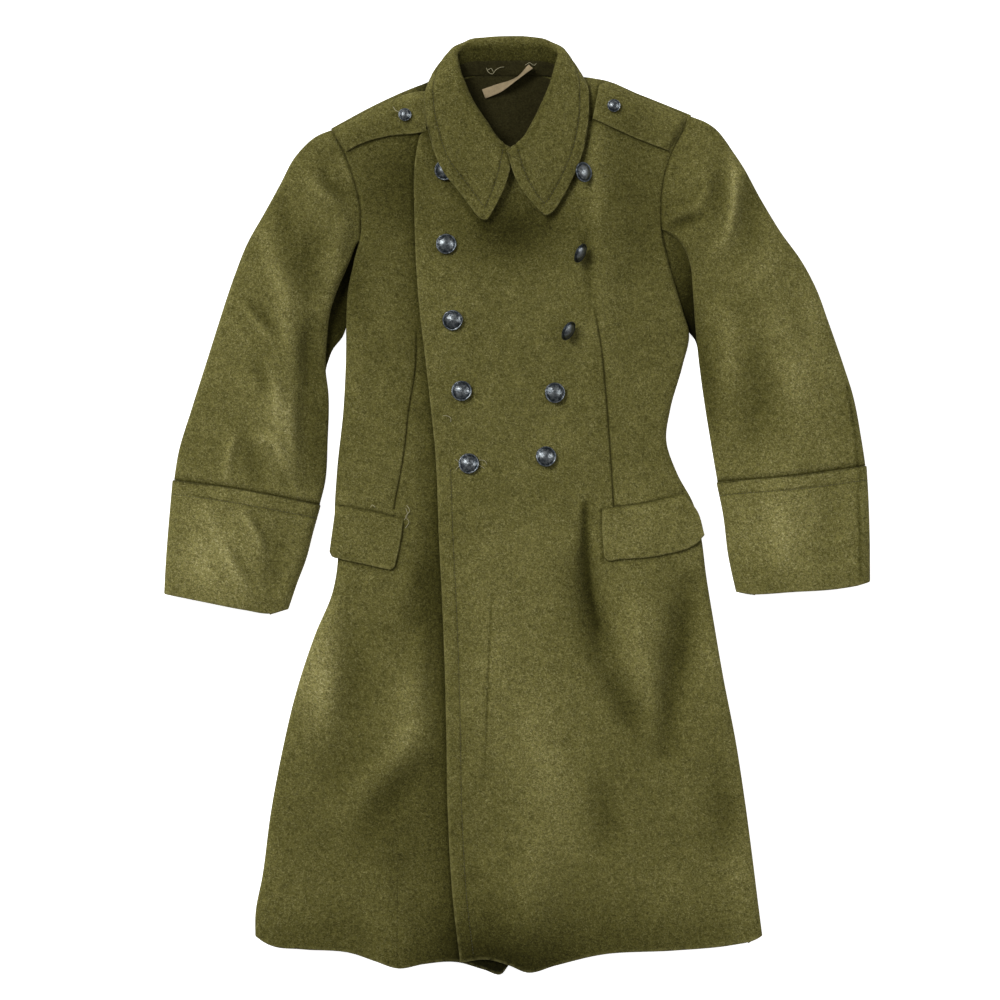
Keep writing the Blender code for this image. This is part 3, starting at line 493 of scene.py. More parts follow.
LEFT_SLEEVE_CREASES = [
    Crease([(270, 452), (274, 420), (274, 376), (264, 336), (246, 316)], 7.5, 2.6),
    Crease([(273, 440), (275, 410), (274, 378), (266, 345)], 3.6, 1.3),
    Crease([(300, 420), (296, 370), (298, 318)], 17, -3.0),
    Crease([(262, 440), (258, 400), (252, 360)], 14, -1.8),
    Crease([(190, 360), (206, 370), (228, 378), (240, 398), (238, 420)], 6.5, 2.0),
    Crease([(196, 352), (214, 358), (236, 366)], 7, -2.6),
    Crease([(222, 260), (235, 184), (250, 95)], 12, -2.6),
    Crease([(330, 240), (350, 170), (362, 100)], 24, 2.2),
    Crease([(300, 190), (306, 130), (300, 70)], 20, -1.9),
    Crease([(356, 300), (372, 250), (384, 200)], 14, 1.6),
    Crease([(262, 260), (270, 200), (274, 140)], 12, 1.8),
]
RIGHT_CUFF_CREASES = [
    Crease([(-349, -8), (-336, -28), (-322, -54)], 6, 2.0),
    Crease([(-338, -6), (-322, -34), (-311, -58)], 7, -2.0),
    Crease([(-374, -42), (-366, -66), (-339, -106)], 7, 2.0),
    Crease([(-354, -58), (-346, -80), (-330, -104)], 7, -1.8),
    Crease([(-395, 2), (-386, -24), (-376, -44)], 8, 1.4),
    Crease([(-300, -25), (-306, -70), (-312, -110)], 12, -1.7),
    Crease([(-410, -20), (-400, -60), (-392, -100)], 16, 1.2),
]
LEFT_CUFF_CREASES = [
    Crease([(330, 10), (340, -40), (336, -85)], 16, 1.6),
    Crease([(400, 20), (392, -30), (396, -80)], 18, -1.4),
]
# Sewn lines of the fronts: darts from their tops to the flaps, and the facing's line by the edge
RIGHT_DART = edges((-128, 224), (-128, 184), (-138, 113), (-142, 74), (-156, -5))
LEFT_DART = edges((98, 248), (103, 224), (109, 184), (113, 141), (117, 91), (123, -2))

# Painted shade in the depth of sewn lines, a crease and a trough: line, half width and share
SEAM_PAINTED_SHADES = [
    (RIGHT_DART, 1.7, 0.5),
    (LEFT_DART, 1.7, 0.5),
    (RIGHT_ARMHOLE, 1.6, 0.4),
    (LEFT_ARMHOLE, 1.6, 0.4),
    (RIGHT_CUFF_SEAM, 1.7, 0.62),
    (LEFT_CUFF_SEAM, 1.7, 0.62),
    (RIGHT_FLAP_TOP, 1.4, 0.76),
    (LEFT_FLAP_TOP, 1.4, 0.76),
    (edges((-32, -112), (-36, -210), (-39, -297), (-41, -330)), 1.6, 0.3),
    ([Edge(p.x + FRONT_STITCH_INSET, p.y) for p in OVER_EDGE[:7]], 1.6, 0.26),
    (edges((85, 0), (87.5, -35), (89, -70), (91, -98), (96, -128), (102, -155)), 4.6, 0.46),
    (edges((-418, 14), (-340, -1), (-256, -16.5)), 1.6, 0.28),
    (edges((261.6, 13), (348, 20), (436, 29)), 1.6, 0.28),
    (edges((419, 150), (427, 100), (432, 58), (433.5, -18), (436, -94)), 1.7, 0.5),
]
# Painted shadow on the fronts beside what lies on them: line, half width and share
LAID_PAINTED_SHADOWS = [
    ([Edge(row.edge_x, row.edge_y) for row in COLLAR_ROWS[:8]], 7.0, 0.34),
    ([Edge(row.edge_x, row.edge_y) for row in COLLAR_ROWS[11:]], 7.0, 0.34),
    (RIGHT_FLAP_LOW, 3.6, 0.4),
    (end_rows(RIGHT_FLAP_LOW[-1], RIGHT_FLAP_ENDS[1], RIGHT_FLAP_TOP[-1]), 3.6, 0.4),
    (LEFT_FLAP_LOW, 3.6, 0.4),
    (end_rows(LEFT_FLAP_LOW[0], LEFT_FLAP_ENDS[0], LEFT_FLAP_TOP[0]), 3.6, 0.4),
    ([RIGHT_STRAP_LOW[-1], RIGHT_STRAP_TOP[-1]], 3.0, 0.4),
    ([LEFT_STRAP_LOW[0], LEFT_STRAP_TOP[0]], 4.0, 0.55),
    (RIGHT_STRAP_LOW, 3.4, 0.4),
    (RIGHT_STRAP_TOP, 3.0, 0.3),
    (LEFT_STRAP_LOW, 3.4, 0.4),
    (LEFT_STRAP_TOP, 3.0, 0.3),
]
# Loose ends of thread: the cloth that each lies on, then points with their rise above it
LOOSE_THREADS = [
    ("over", [(-68, 54, 1.0), (-74, 55, 1.6), (-78, 58, 0.6)]),
    ("over", [(-69, 50, 1.0), (-75, 48, 1.4), (-77, 45, 0.5)]),
    ("over", [(-53, 55, 1.0), (-46, 57, 1.8), (-40, 55, 1.2), (-38, 51, 0.5)]),
    ("over", [(-53, 51, 1.0), (-45, 49, 1.5), (-41, 46, 0.5)]),
    ("over", [(-94, 113, 0.5), (-89, 113, 1.2), (-84, 110, 1.0), (-84, 105, 0.5)]),
    ("under", [(-140, 0, 0.6), (-136, -7, 1.8), (-141, -15, 2.0), (-137, -21, 1.4), (-142, -30, 0.6)]),
    ("under", [(-141, -4, 0.6), (-139, -12, 1.2), (-143, -19, 0.6)]),
    ("under", [(-186, -3, 3.8), (-183, 0, 2.4), (-180, -3, 3.6)]),
    ("under", [(-148, 497, 4.6), (-154, 500, 5.2), (-157, 505, 4.0)]),
    ("neck", [(-39, 556, 7.2), (-36, 550, 8.2), (-31, 548, 8.0), (-28, 552, 8.6), (-22, 556, 8.6),
              (-16, 557, 7.6)]),
    ("neck", [(-37, 553, 7.0), (-33, 555, 8.0), (-30, 551, 7.4)]),
    ("neck", [(10, 559, 8.2), (16, 562, 9.2), (22, 559, 8.6), (25, 562, 8.0)]),
]

WAVES = np.random.RandomState(11)
RIPPLES = []
for wave_length, amount in ((170, 0.75), (120, 0.6), (85, 0.42), (60, 0.3), (42, 0.2), (30, 0.13)):
    for _ in range(3):
        way = WAVES.uniform(0.0, math.pi)
        RIPPLES.append((2 * math.pi / wave_length * math.cos(way), 2 * math.pi / wave_length * math.sin(way),
                        WAVES.uniform(0.0, 2 * math.pi), amount * WAVES.uniform(0.7, 1.2)))


def smooth_line(rows):
    """A smooth line through the rows of a table, as a function of the share of its length."""
    table = np.array(rows, dtype=float)
    steps = np.linalg.norm(np.diff(table[:, :2], axis=0), axis=1)
    knots = np.concatenate([[0.0], np.cumsum(steps)]) / steps.sum()
    slopes = np.gradient(table, knots, axis=0)

    def at(share):
        share = np.clip(np.asarray(share, dtype=float), 0.0, 1.0)
        low = np.clip(np.searchsorted(knots, share, side="right") - 1, 0, len(knots) - 2)
        span = (knots[low + 1] - knots[low])[..., None]
        s = (share - knots[low])[..., None] / span
        value = (2 * s**3 - 3 * s**2 + 1) * table[low] + (3 * s**2 - 2 * s**3) * table[low + 1]
        return value + span * ((s**3 - 2 * s**2 + s) * slopes[low] + (s**3 - s**2) * slopes[low + 1])

    return at


def across(rows):
    """The x of a side or edge line at a height y."""
    line = smooth_line(rows)(np.linspace(0.0, 1.0, 400))
    order = np.argsort(line[:, 1])
    return lambda y: np.interp(y, line[order, 1], line[order, 0])


def ease(t):
    t = np.clip(t, 0.0, 1.0)
    return t * t * (3.0 - 2.0 * t)


def unit(vectors):
    return vectors / np.maximum(np.linalg.norm(vectors, axis=-1), 1e-9)[..., None]


def fold_heights(x, y, folds):
    """Sum of the large soft ridges and troughs at points of the plan."""
    total = np.zeros(np.shape(x))
    t = np.linspace(0.0, 1.0, 25)
    for fold in folds:
        fx = (1 - t) ** 2 * fold.x0 + 2 * t * (1 - t) * fold.x1 + t**2 * fold.x2
        fy = (1 - t) ** 2 * fold.y0 + 2 * t * (1 - t) * fold.y1 + t**2 * fold.y2
        away = (np.asarray(x)[..., None] - fx) ** 2 + (np.asarray(y)[..., None] - fy) ** 2
        strength = 0.35 + 0.65 * np.sin(math.pi * (0.1 + 0.8 * t))
        total = total + FOLD_GAIN * fold.height * np.max(strength * np.exp(-away / fold.width**2), axis=-1)
    return total


def near_run(x, y, run, reach):
    """Which points of the plan are within a run's box and a reach round it."""
    low, high = run.min(axis=0) - reach, run.max(axis=0) + reach
    return (x > low[0]) & (x < high[0]) & (y > low[1]) & (y < high[1])


def squares_to(x, y, run):
    """Squared distances from points of the plan to each point of a run."""
    return (np.asarray(x)[..., None] - run[:, 0]) ** 2 + (np.asarray(y)[..., None] - run[:, 1]) ** 2


def crease_heights(x, y, creases):
    """Sum of the smaller creases, which fade out at both ends."""
    x, y = np.asarray(x, dtype=float), np.asarray(y, dtype=float)
    total = np.zeros(x.shape)
    for crease in creases:
        near = near_run(x, y, np.array(crease.points, dtype=float), 3 * crease.width)
        if not near.any():
            continue
        t = np.linspace(0.0, 1.0, 41)
        run = smooth_line(crease.points)(t)
        away = squares_to(x[near], y[near], run)
        strength = np.sin(math.pi * (0.06 + 0.88 * t)) ** 0.8
        total[near] += CREASE_GAIN * crease.height * np.max(strength * np.exp(-away / crease.width**2), axis=-1)
    return total


def groove(x, y, rows, width, depth, fade=0.0):
    """A sewn line pressed into the cloth; it fades in over the first share of its run."""
    x, y = np.asarray(x, dtype=float), np.asarray(y, dtype=float)
    total = np.zeros(x.shape)
    t = np.linspace(0.0, 1.0, 500)
    run = smooth_line(rows)(t)[:, :2]
    near = near_run(x, y, run, 4 * width)
    if near.any():
        away = squares_to(x[near], y[near], run)
        nearest = np.argmin(away, axis=1)
        strength = ease(t[nearest] / fade) if fade else 1.0
        total[near] = -depth * strength * np.exp(-away.min(axis=1) / width**2)
    return total


def ripple(x, y):
    """Small unevenness of cloth that has been worn and laid down."""
    total = np.zeros(np.shape(x))
    for wave_x, wave_y, phase, amount in RIPPLES:
        total = total + amount * np.sin(wave_x * x + wave_y * y + phase)
    return total * 0.55


def spot_tone(x, y, spot):
    away = ((x - spot.x) / spot.reach_x) ** 2 + ((y - spot.y) / spot.reach_y) ** 2
    return 1.0 + (spot.tone - 1.0) * np.exp(-away)


def painted_light_tones(x, y):
    """Tone of the cloth, all painted light and shade: paler on the ridges, darker in the troughs and along sewn
    lines, lighter or darker in spots.
    """
    total = np.ones(np.shape(x))
    folds = fold_heights(x, y, BODY_FOLDS + RIGHT_SLEEVE_FOLDS + LEFT_SLEEVE_FOLDS)
    small = crease_heights(x, y, BODY_CREASES + RIGHT_SLEEVE_CREASES + LEFT_SLEEVE_CREASES)
    small = small + crease_heights(x, y, RIGHT_CUFF_CREASES + LEFT_CUFF_CREASES)
    total = total * np.exp(FOLD_PAINTED_SHADE * folds + CREASE_PAINTED_SHADE * small)
    for spot in PAINTED_LIGHT_SPOTS:
        total = total * spot_tone(x, y, spot)
    return total * painted_line_shades(x, y, SEAM_PAINTED_SHADES)


def painted_line_shades(x, y, shades):
    """Share of the tone that is left near some lines, as painted shade."""
    total = np.ones(np.shape(x))
    for rows, width, share in shades:
        total = total * (1.0 + groove(x, y, rows, width, share))
    return total


def front_painted_shade(x, y):
    """Painted shade on the fronts under the collar's points and painted shadow beside what lies on them."""
    return painted_line_shades(x, y, LAID_PAINTED_SHADOWS) * spot_tone(x, y, UNDER_POINTS_PAINTED_SHADE)


def under_painted_shade(x, y):
    """Painted shadow on the under front beside the over front's edge, most below the waist, on top of the fronts'
    painted shade.
    """
    apart = np.maximum(over_edge_x(y) - x, 0.0)
    low = ease((90.0 - y) / 120.0) * ease((y + 400.0) / 160.0)
    near = 1.0 - LAP_LINE * np.exp(-((apart / LAP_LINE_REACH) ** 2))
    wide = 1.0 - (LAP_SHADE + LAP_SHADE_LOW * low) * np.exp(-((apart / LAP_SHADE_REACH) ** 2))
    return front_painted_shade(x, y) * near * wide


right_side_x = across(RIGHT_SIDE)
left_side_x = across(LEFT_SIDE)
over_edge_x = across(OVER_EDGE)
under_edge_x = across(UNDER_EDGE)


def shoulder_drop(x, y):
    """Share of the loft that is left near a shoulder line, where the front comes down to the back."""
    right_y = np.interp(x, *np.transpose(RIGHT_SHOULDER))
    left_y = np.interp(x, *np.transpose(LEFT_SHOULDER))
    line_y = np.where(x < -10, right_y, left_y)
    depth = np.clip((line_y - y) * 0.9 / SHOULDER_REACH, 0.0, 1.0)
    return 1.0 - (1.0 - depth) ** 2


def body_height(x, y):
    """Middle of the upper cloth of the body over the plan, with its creases."""
    depth = np.minimum(x - right_side_x(y), left_side_x(y) - x)
    crown = BODY_CROWN * (1.0 - np.exp(-((np.maximum(depth, 0.0) / CROWN_REACH) ** 2)))
    full = BODY_LOFT + crown + fold_heights(x, y, BODY_FOLDS)
    full = full + crease_heights(x, y, BODY_CREASES) + ripple(x, y)
    full = LEAST_LOFT + LOFT_SOFT * np.logaddexp(0.0, (full - LEAST_LOFT) / LOFT_SOFT)
    return SHOULDER_EDGE + (full - SHOULDER_EDGE) * shoulder_drop(x, y)


def right_height(x, y):
    """The under front: it dips beside the over front's edge and sinks away where that hides it."""
    past = x - over_edge_x(y)
    dip = np.exp(-(((past + LAP_DIP_AT) / LAP_DIP_WIDTH) ** 2))
    dip = dip * ease((y + 460.0) / 160.0) * ease((380.0 - y) / 120.0)
    return body_height(x, y) - LAP_SINK * ease((past - 6.0) / 40.0) - LAP_DIP * dip


def left_height(x, y):
    """The over front: lifted where it lies on the under front."""
    return body_height(x, y) + LAP_LIFT * (1.0 - ease((x - under_edge_x(y)) / LAP_FADE))


def sewn_front(x, y, height, dart, armhole, flap_top):
    """A front with its dart, its armhole seam and its flap's seam pressed in."""
    z = height(x, y) + groove(x, y, dart, DART_WIDTH, DART_DEPTH, DART_FADE)
    z = z + groove(x, y, dart, DART_SOFT, DART_SOFT_DEPTH, DART_FADE) + groove(x, y, armhole, SEAM_SOFT, SEAM_DIP)
    return z + groove(x, y, flap_top, FLAP_SEAM, FLAP_DIP)


def right_sewn(x, y, u, v):
    return sewn_front(x, y, right_height, RIGHT_DART, RIGHT_ARMHOLE, RIGHT_FLAP_TOP)


def left_sewn(x, y, u, v):
    """The over front, also with the line of its facing and its turned edge."""
    z = sewn_front(x, y, left_height, LEFT_DART, LEFT_ARMHOLE, LEFT_FLAP_TOP)
    inside = x - over_edge_x(y) - FRONT_STITCH_INSET
    z = z - FACING_DIP * np.exp(-((inside / FACING_WIDTH) ** 2)) * ease((FACING_TOP - y) / 60.0)
    return z - EDGE_DIP * np.exp(-(((inside + FRONT_STITCH_INSET) / EDGE_DIP_WIDTH) ** 2))


def sleeve_height(folds, creases, armhole):
    """Middle of the upper cloth of a sleeve; u across, v from the cuff seam to the armhole."""

    def height(x, y, u, v):
        head = ease((1.0 - v) / SLEEVE_HEAD_REACH)
        base = ARMHOLE_LOFT + (SLEEVE_LOFT - ARMHOLE_LOFT) * head
        small = (crease_heights(x, y, creases) + ripple(x, y)) * ease((1.0 - v) / CREASE_HEAD)
        z = base + (SLEEVE_CROWN * np.sin(math.pi * u) + fold_heights(x, y, folds)) * head + small
        z = z - ARMHOLE_SINK * np.exp(-(((1.0 - v) * SLEEVE_RUN / ARMHOLE_SINK_REACH) ** 2))
        seam = CUFF_SEAM_DIP * np.exp(-((v * SLEEVE_RUN / CUFF_SEAM_REACH) ** 2))
        return z + groove(x, y, armhole, SEAM_SOFT, SEAM_DIP) - seam

    return height


def cuff_height(creases):
    """Middle of the doubled cloth of a cuff, with the sewn line under its top edge."""

    def height(x, y, u, v):
        z = SLEEVE_LOFT + CUFF_RISE + SLEEVE_CROWN * np.sin(math.pi * u)
        z = z + (crease_heights(x, y, creases) + ripple(x, y)) * ease((1.0 - v) / 0.15 + 0.3)
        return z - CUFF_LINE_DIP * np.exp(-(((v - CUFF_LINE) / CUFF_LINE_WIDTH) ** 2))

    return height


def outward_of(line, shares, side):
    """Plan direction out of a panel along its side line; side is -1 at the left, 1 at the right."""
    step = 0.004
    run = unit(line(shares + step)[:, :2] - line(shares - step)[:, :2])
    return side * np.stack([run[:, 1], -run[:, 0]], axis=1)


def roll_sizes(turn, width, run):
    """Half width of the roll and run beneath it, small where the edge is a seam."""
    share = ease((turn - 30.0) / 110.0)
    half = SEAM_ROLL + (width - SEAM_ROLL) * share
    return half, SEAM_RUN + (run - SEAM_RUN) * ease((turn - 110.0) / 60.0)


def steps_of(count, close=()):
    """Even shares from 0 to 1, with closer ones about the given places: middle, reach and step."""
    shares = np.linspace(0.0, 1.0, count + 1)
    for middle, reach, step in close:
        extra = np.arange(middle - reach, middle + reach + step / 2, step)
        shares = np.concatenate([shares[np.abs(shares - middle) > reach + step / 2], extra])
    return np.sort(shares)


def between(line, first, last):
    """The part of a line between its points nearest to two places."""
    shares = np.linspace(0.0, 1.0, 2001)
    points = line(shares)[:, :2]
    low, high = (shares[np.argmin(np.linalg.norm(points - place, axis=1))] for place in (first, last))
    return lambda at: line(low + (high - low) * np.asarray(at, dtype=float))


def panel(left, right, low, high, height, u, v, rolls, cloth, square=(), sewn=None, reach=SQUARE_REACH):
    """Grid of a panel from its four edge lines, with its sides rolled round as the tables say.

    Near a squared end the rolls run along the end line, so that they meet the next piece's. The column
    at a sewn share follows its line."""
    edges = []
    for line, side, rolled in ((left, -1, rolls[0]), (right, 1, rolls[1])):
        points = line(v)
        if not rolled:
            edges.append((points[:, :2], None))
            continue
        turn = points[:, 2]
        half, run = roll_sizes(turn, rolled, UNDER_RUN)
        sine = np.sin(np.radians(np.minimum(turn, 90.0)))
        inset = (half + cloth / 2) * sine + run * np.maximum(np.cos(np.radians(turn)), 0.0)
        out = outward_of(line, v, side)
        for end in square:
            line_end = high if end else low
            near = inset[-1 if end else 0] / np.linalg.norm(line_end(1.0)[:2] - line_end(0.0)[:2])
            pair = line_end(np.array([0.0, near] if side < 0 else [1.0 - near, 1.0]))[:, :2]
            share = ease(1.0 - np.abs(v - end) / reach)[:, None]
            out = out + (side * unit(pair[1] - pair[0]) - out) * share
        edges.append((points[:, :2] - out * inset[:, None], (out, turn, half, run)))
    start, finish = edges[0][0], edges[1][0]
    low, high = between(low, start[0], finish[0]), between(high, start[-1], finish[-1])
    vv = v[:, None, None]

    def plan_at(shares):
        w = shares[..., None]
        lows = low(shares)[..., :2] + (1 - w) * (start[0] - low(0.0)[:2]) + w * (finish[0] - low(1.0)[:2])
        highs = high(shares)[..., :2] + (1 - w) * (start[-1] - high(0.0)[:2]) + w * (finish[-1] - high(1.0)[:2])
        plan = (1 - vv) * lows + vv * highs + (1 - w) * start[:, None] + w * finish[:, None]
        plan = plan - (1 - vv) * ((1 - w) * start[0] + w * finish[0])
        return plan - vv * ((1 - w) * start[-1] + w * finish[-1])

    uu = np.tile(u, (len(v), 1))
    if sewn is not None:
        column, rows = sewn
        rough, line_x = plan_at(uu), across(rows)
        for i in range(len(v)):
            goal = line_x(np.interp(column, u, rough[i, :, 1]))
            uu[i] += (np.interp(goal, rough[i, :, 0], u) - column) * np.exp(-(((u - column) / 0.12) ** 2))
    plan = plan_at(uu)
    vv = np.tile(v[:, None], (1, len(u)))
    z = height(plan[..., 0], plan[..., 1], uu, vv)
    grid = [np.concatenate([plan[:, j], z[:, j : j + 1]], axis=1) for j in range(len(u))]
    for index, place in ((0, 0), (1, -1)):
        if edges[index][1] is None:
            continue
        out, turn, half, run = edges[index][1]
        top = grid[place]
        rest = CLOTH + SEAM + cloth / 2
        middle, drop = (top[:, 2] + rest) / 2, (top[:, 2] - rest) / 2
        rolled = []
        for step in range(1, ROLL_STEPS + 1):
            angle = np.radians(turn) * step / ROLL_STEPS
            spot = top[:, :2] + out * (half * np.sin(angle))[:, None]
            rolled.append(np.column_stack([spot, middle + drop * np.cos(angle)]))
        angle = np.radians(turn)
        foot = rolled[-1]
        for share in (0.5, 1.0):
            spot = foot[:, :2] + out * (run * share * np.cos(angle))[:, None]
            low_z = np.maximum(foot[:, 2] - run * share * np.sin(angle) * 0.5, rest)
            rolled.append(np.column_stack([spot, low_z]))
        grid = rolled[::-1] + grid if index == 0 else grid + rolled
    return np.stack(grid, axis=1)


def collar_grid(sections, steps):
    """Points of the collar: round the neck, and from the neck seam over the fold to the outer edge."""
    shares = steps_of(sections, [(0.02, 0.02, 0.002), (0.98, 0.02, 0.002)])
    rows = smooth_line(COLLAR_ROWS)(shares)
    neck_x, neck_y, fold_x, fold_y, edge_x, edge_y, angle = rows.T
    turn = np.radians(angle)
    front = (1.0 + np.cos(turn)) / 2
    roll = ROLL_BACK + (ROLL_FRONT - ROLL_BACK) * front
    neck_z = REST + (left_height(neck_x, neck_y) - REST) * front
    fold_z = CLOTH / 2 + roll + (FOLD_FRONT - CLOTH / 2 - roll) * front
    edge_z = CLOTH / 2 + (left_height(edge_x, edge_y) + FALL_LIFT - CLOTH / 2) * ease(front * 1.6)
    neck = np.stack([neck_x, neck_y, neck_z], axis=1)
    fold = np.stack([fold_x, fold_y, fold_z], axis=1)
    edge = np.stack([edge_x, edge_y, edge_z], axis=1)
    along = unit(np.stack([fold_x - edge_x, fold_y - edge_y, 0 * turn], axis=1))
    beside = np.stack([-along[:, 1], along[:, 0], 0 * turn], axis=1)
    out = np.cos(turn)[:, None] * np.array([0.0, 0.0, 1.0]) + np.sin(turn)[:, None] * beside
    roll = roll[:, None]
    centre = fold - along * roll
    foot, head = centre - out * roll, centre + out * roll
    stand_way = foot - along * np.linalg.norm(foot - neck, axis=1)[:, None] * 0.4
    reach = np.linalg.norm(head - edge, axis=1)
    fall_way = head - along * reach[:, None] * 0.5
    columns = []
    for t in np.linspace(0.0, 1.0, steps[0], endpoint=False):
        columns.append((1 - t) ** 2 * neck + 2 * t * (1 - t) * stand_way + t**2 * foot)
    for t in np.linspace(0.0, math.pi, steps[1], endpoint=False):
        columns.append(centre + roll * (math.sin(t) * along - math.cos(t) * out))
    # Rounded points: the fall is a little shorter at its very ends
    from_end = np.minimum(shares, 1.0 - shares) / POINT_SHARE
    shorter = POINT_ROUND * (1.0 - np.sqrt(np.clip(1.0 - (1.0 - np.clip(from_end, 0, 1)) ** 2, 0, 1)))
    for t in np.linspace(0.0, 1.0, steps[2]):
        t = (t * (1.0 - shorter / np.maximum(reach, 1.0)))[:, None]
        columns.append((1 - t) ** 2 * head + 2 * t * (1 - t) * fall_way + t**2 * edge)
    grid = np.stack(columns, axis=1)
    fall = steps[0] + steps[1]
    # The front ends bow towards the middle, and the wearer's left end laps over the right one
    t = np.linspace(0.0, 1.0, steps[2])
    first, last = np.exp(-((shares / END_BOW_SHARE) ** 2)), np.exp(-(((1.0 - shares) / END_BOW_SHARE) ** 2))
    grid[:, fall:, 0] += END_BOW * np.sin(math.pi * t) * (0.6 * first - last)[:, None]
    lap = END_LAP * np.exp(-(((1.0 - shares) / END_LAP_SHARE) ** 2))[:, None]
    x, y, z = grid[:, fall:, 0], grid[:, fall:, 1], grid[:, fall:, 2]
    hidden = FRONT_BUTTONS["button_front_r1"]
    apart = (x - hidden.x) ** 2 + (y - hidden.y) ** 2
    held = np.maximum(z, left_height(x, y) + FALL_LIFT + BUTTON_LIFT * np.exp(-apart / BUTTON_SPREAD**2))
    grid[:, fall:, 2] = z + (held - z) * ease((front[:, None] - 0.35) / 0.25) + lap * (1.0 - ease(t / 0.5))
    grid[:, :fall, 2] += lap * ease(np.arange(fall) / steps[0])
    return grid


def run_of(rows, count, shift=(0.0, 0.0), backwards=False, span=(0.0, 1.0)):
    """Points along a table's line, moved over in plan."""
    points = smooth_line(rows)(np.linspace(span[0], span[1], count))[:, :2] + np.array(shift)
    return points[::-1] if backwards else points


def inset_run(rows, count, side, amount, backwards=False, span=(0.0, 1.0)):
    """Points along a side line, moved into the panel by an amount."""
    line = smooth_line(rows)
    shares = np.linspace(span[0], span[1], count)
    points = line(shares)[:, :2] - outward_of(line, shares, side) * amount
    return points[::-1] if backwards else points


# Materials
def new_material(name):
    material = bpy.data.materials.new(name)
    material.use_nodes = True
    tree = material.node_tree
    return material, tree, tree.nodes["Principled BSDF"]


def node_of(tree, kind, inputs=(), **settings):
    """A new node with its settings; each input is set, or fed from another node's socket."""
    node = tree.nodes.new("ShaderNode" + kind)
    for name, value in settings.items():
        setattr(node, name, value)
    for name, value in dict(inputs).items():
        if isinstance(value, bpy.types.NodeSocket):
            tree.links.new(value, node.inputs[name])
        else:
            node.inputs[name].default_value = value
    return node


def places_of(tree):
    return node_of(tree, "TexCoord").outputs["Object"]


def marked(tree, name):
    return node_of(tree, "Attribute", attribute_name=name).outputs["Fac"]


def noise(tree, place, scale, detail=2.0, rough=0.5, distortion=0.0):
    inputs = {"Vector": place, "Scale": scale, "Detail": detail, "Roughness": rough, "Distortion": distortion}
    return node_of(tree, "TexNoise", inputs).outputs["Fac"]


def turned(tree, place, angle, stretch, shift=0.0):
    inputs = {"Vector": place, "Location": (shift, shift * 0.7, shift * 1.3), "Rotation": (0.0, 0.0, angle),
              "Scale": (1.0, 1.0 / stretch, 1.0)}
    return node_of(tree, "Mapping", inputs, vector_type="TEXTURE").outputs["Vector"]


def span(tree, value, low, high, to_low=0.0, to_high=1.0):
    inputs = {"Value": value, "From Min": low, "From Max": high, "To Min": to_low, "To Max": to_high}
    return node_of(tree, "MapRange", inputs).outputs["Result"]


def sums(tree, kind, first, second):
    return node_of(tree, "Math", {0: first, 1: second}, operation=kind).outputs[0]


def blend_colour(tree, share, first, second, kind="MIX"):
    inputs = {0: share, 6: first, 7: second}
    return node_of(tree, "Mix", inputs, data_type="RGBA", blend_type=kind).outputs[2]


def bump(tree, shader, height, strength, distance):
    node = node_of(tree, "Bump", {"Height": height, "Strength": strength, "Distance": distance})
    tree.links.new(node.outputs["Normal"], shader.inputs["Normal"])


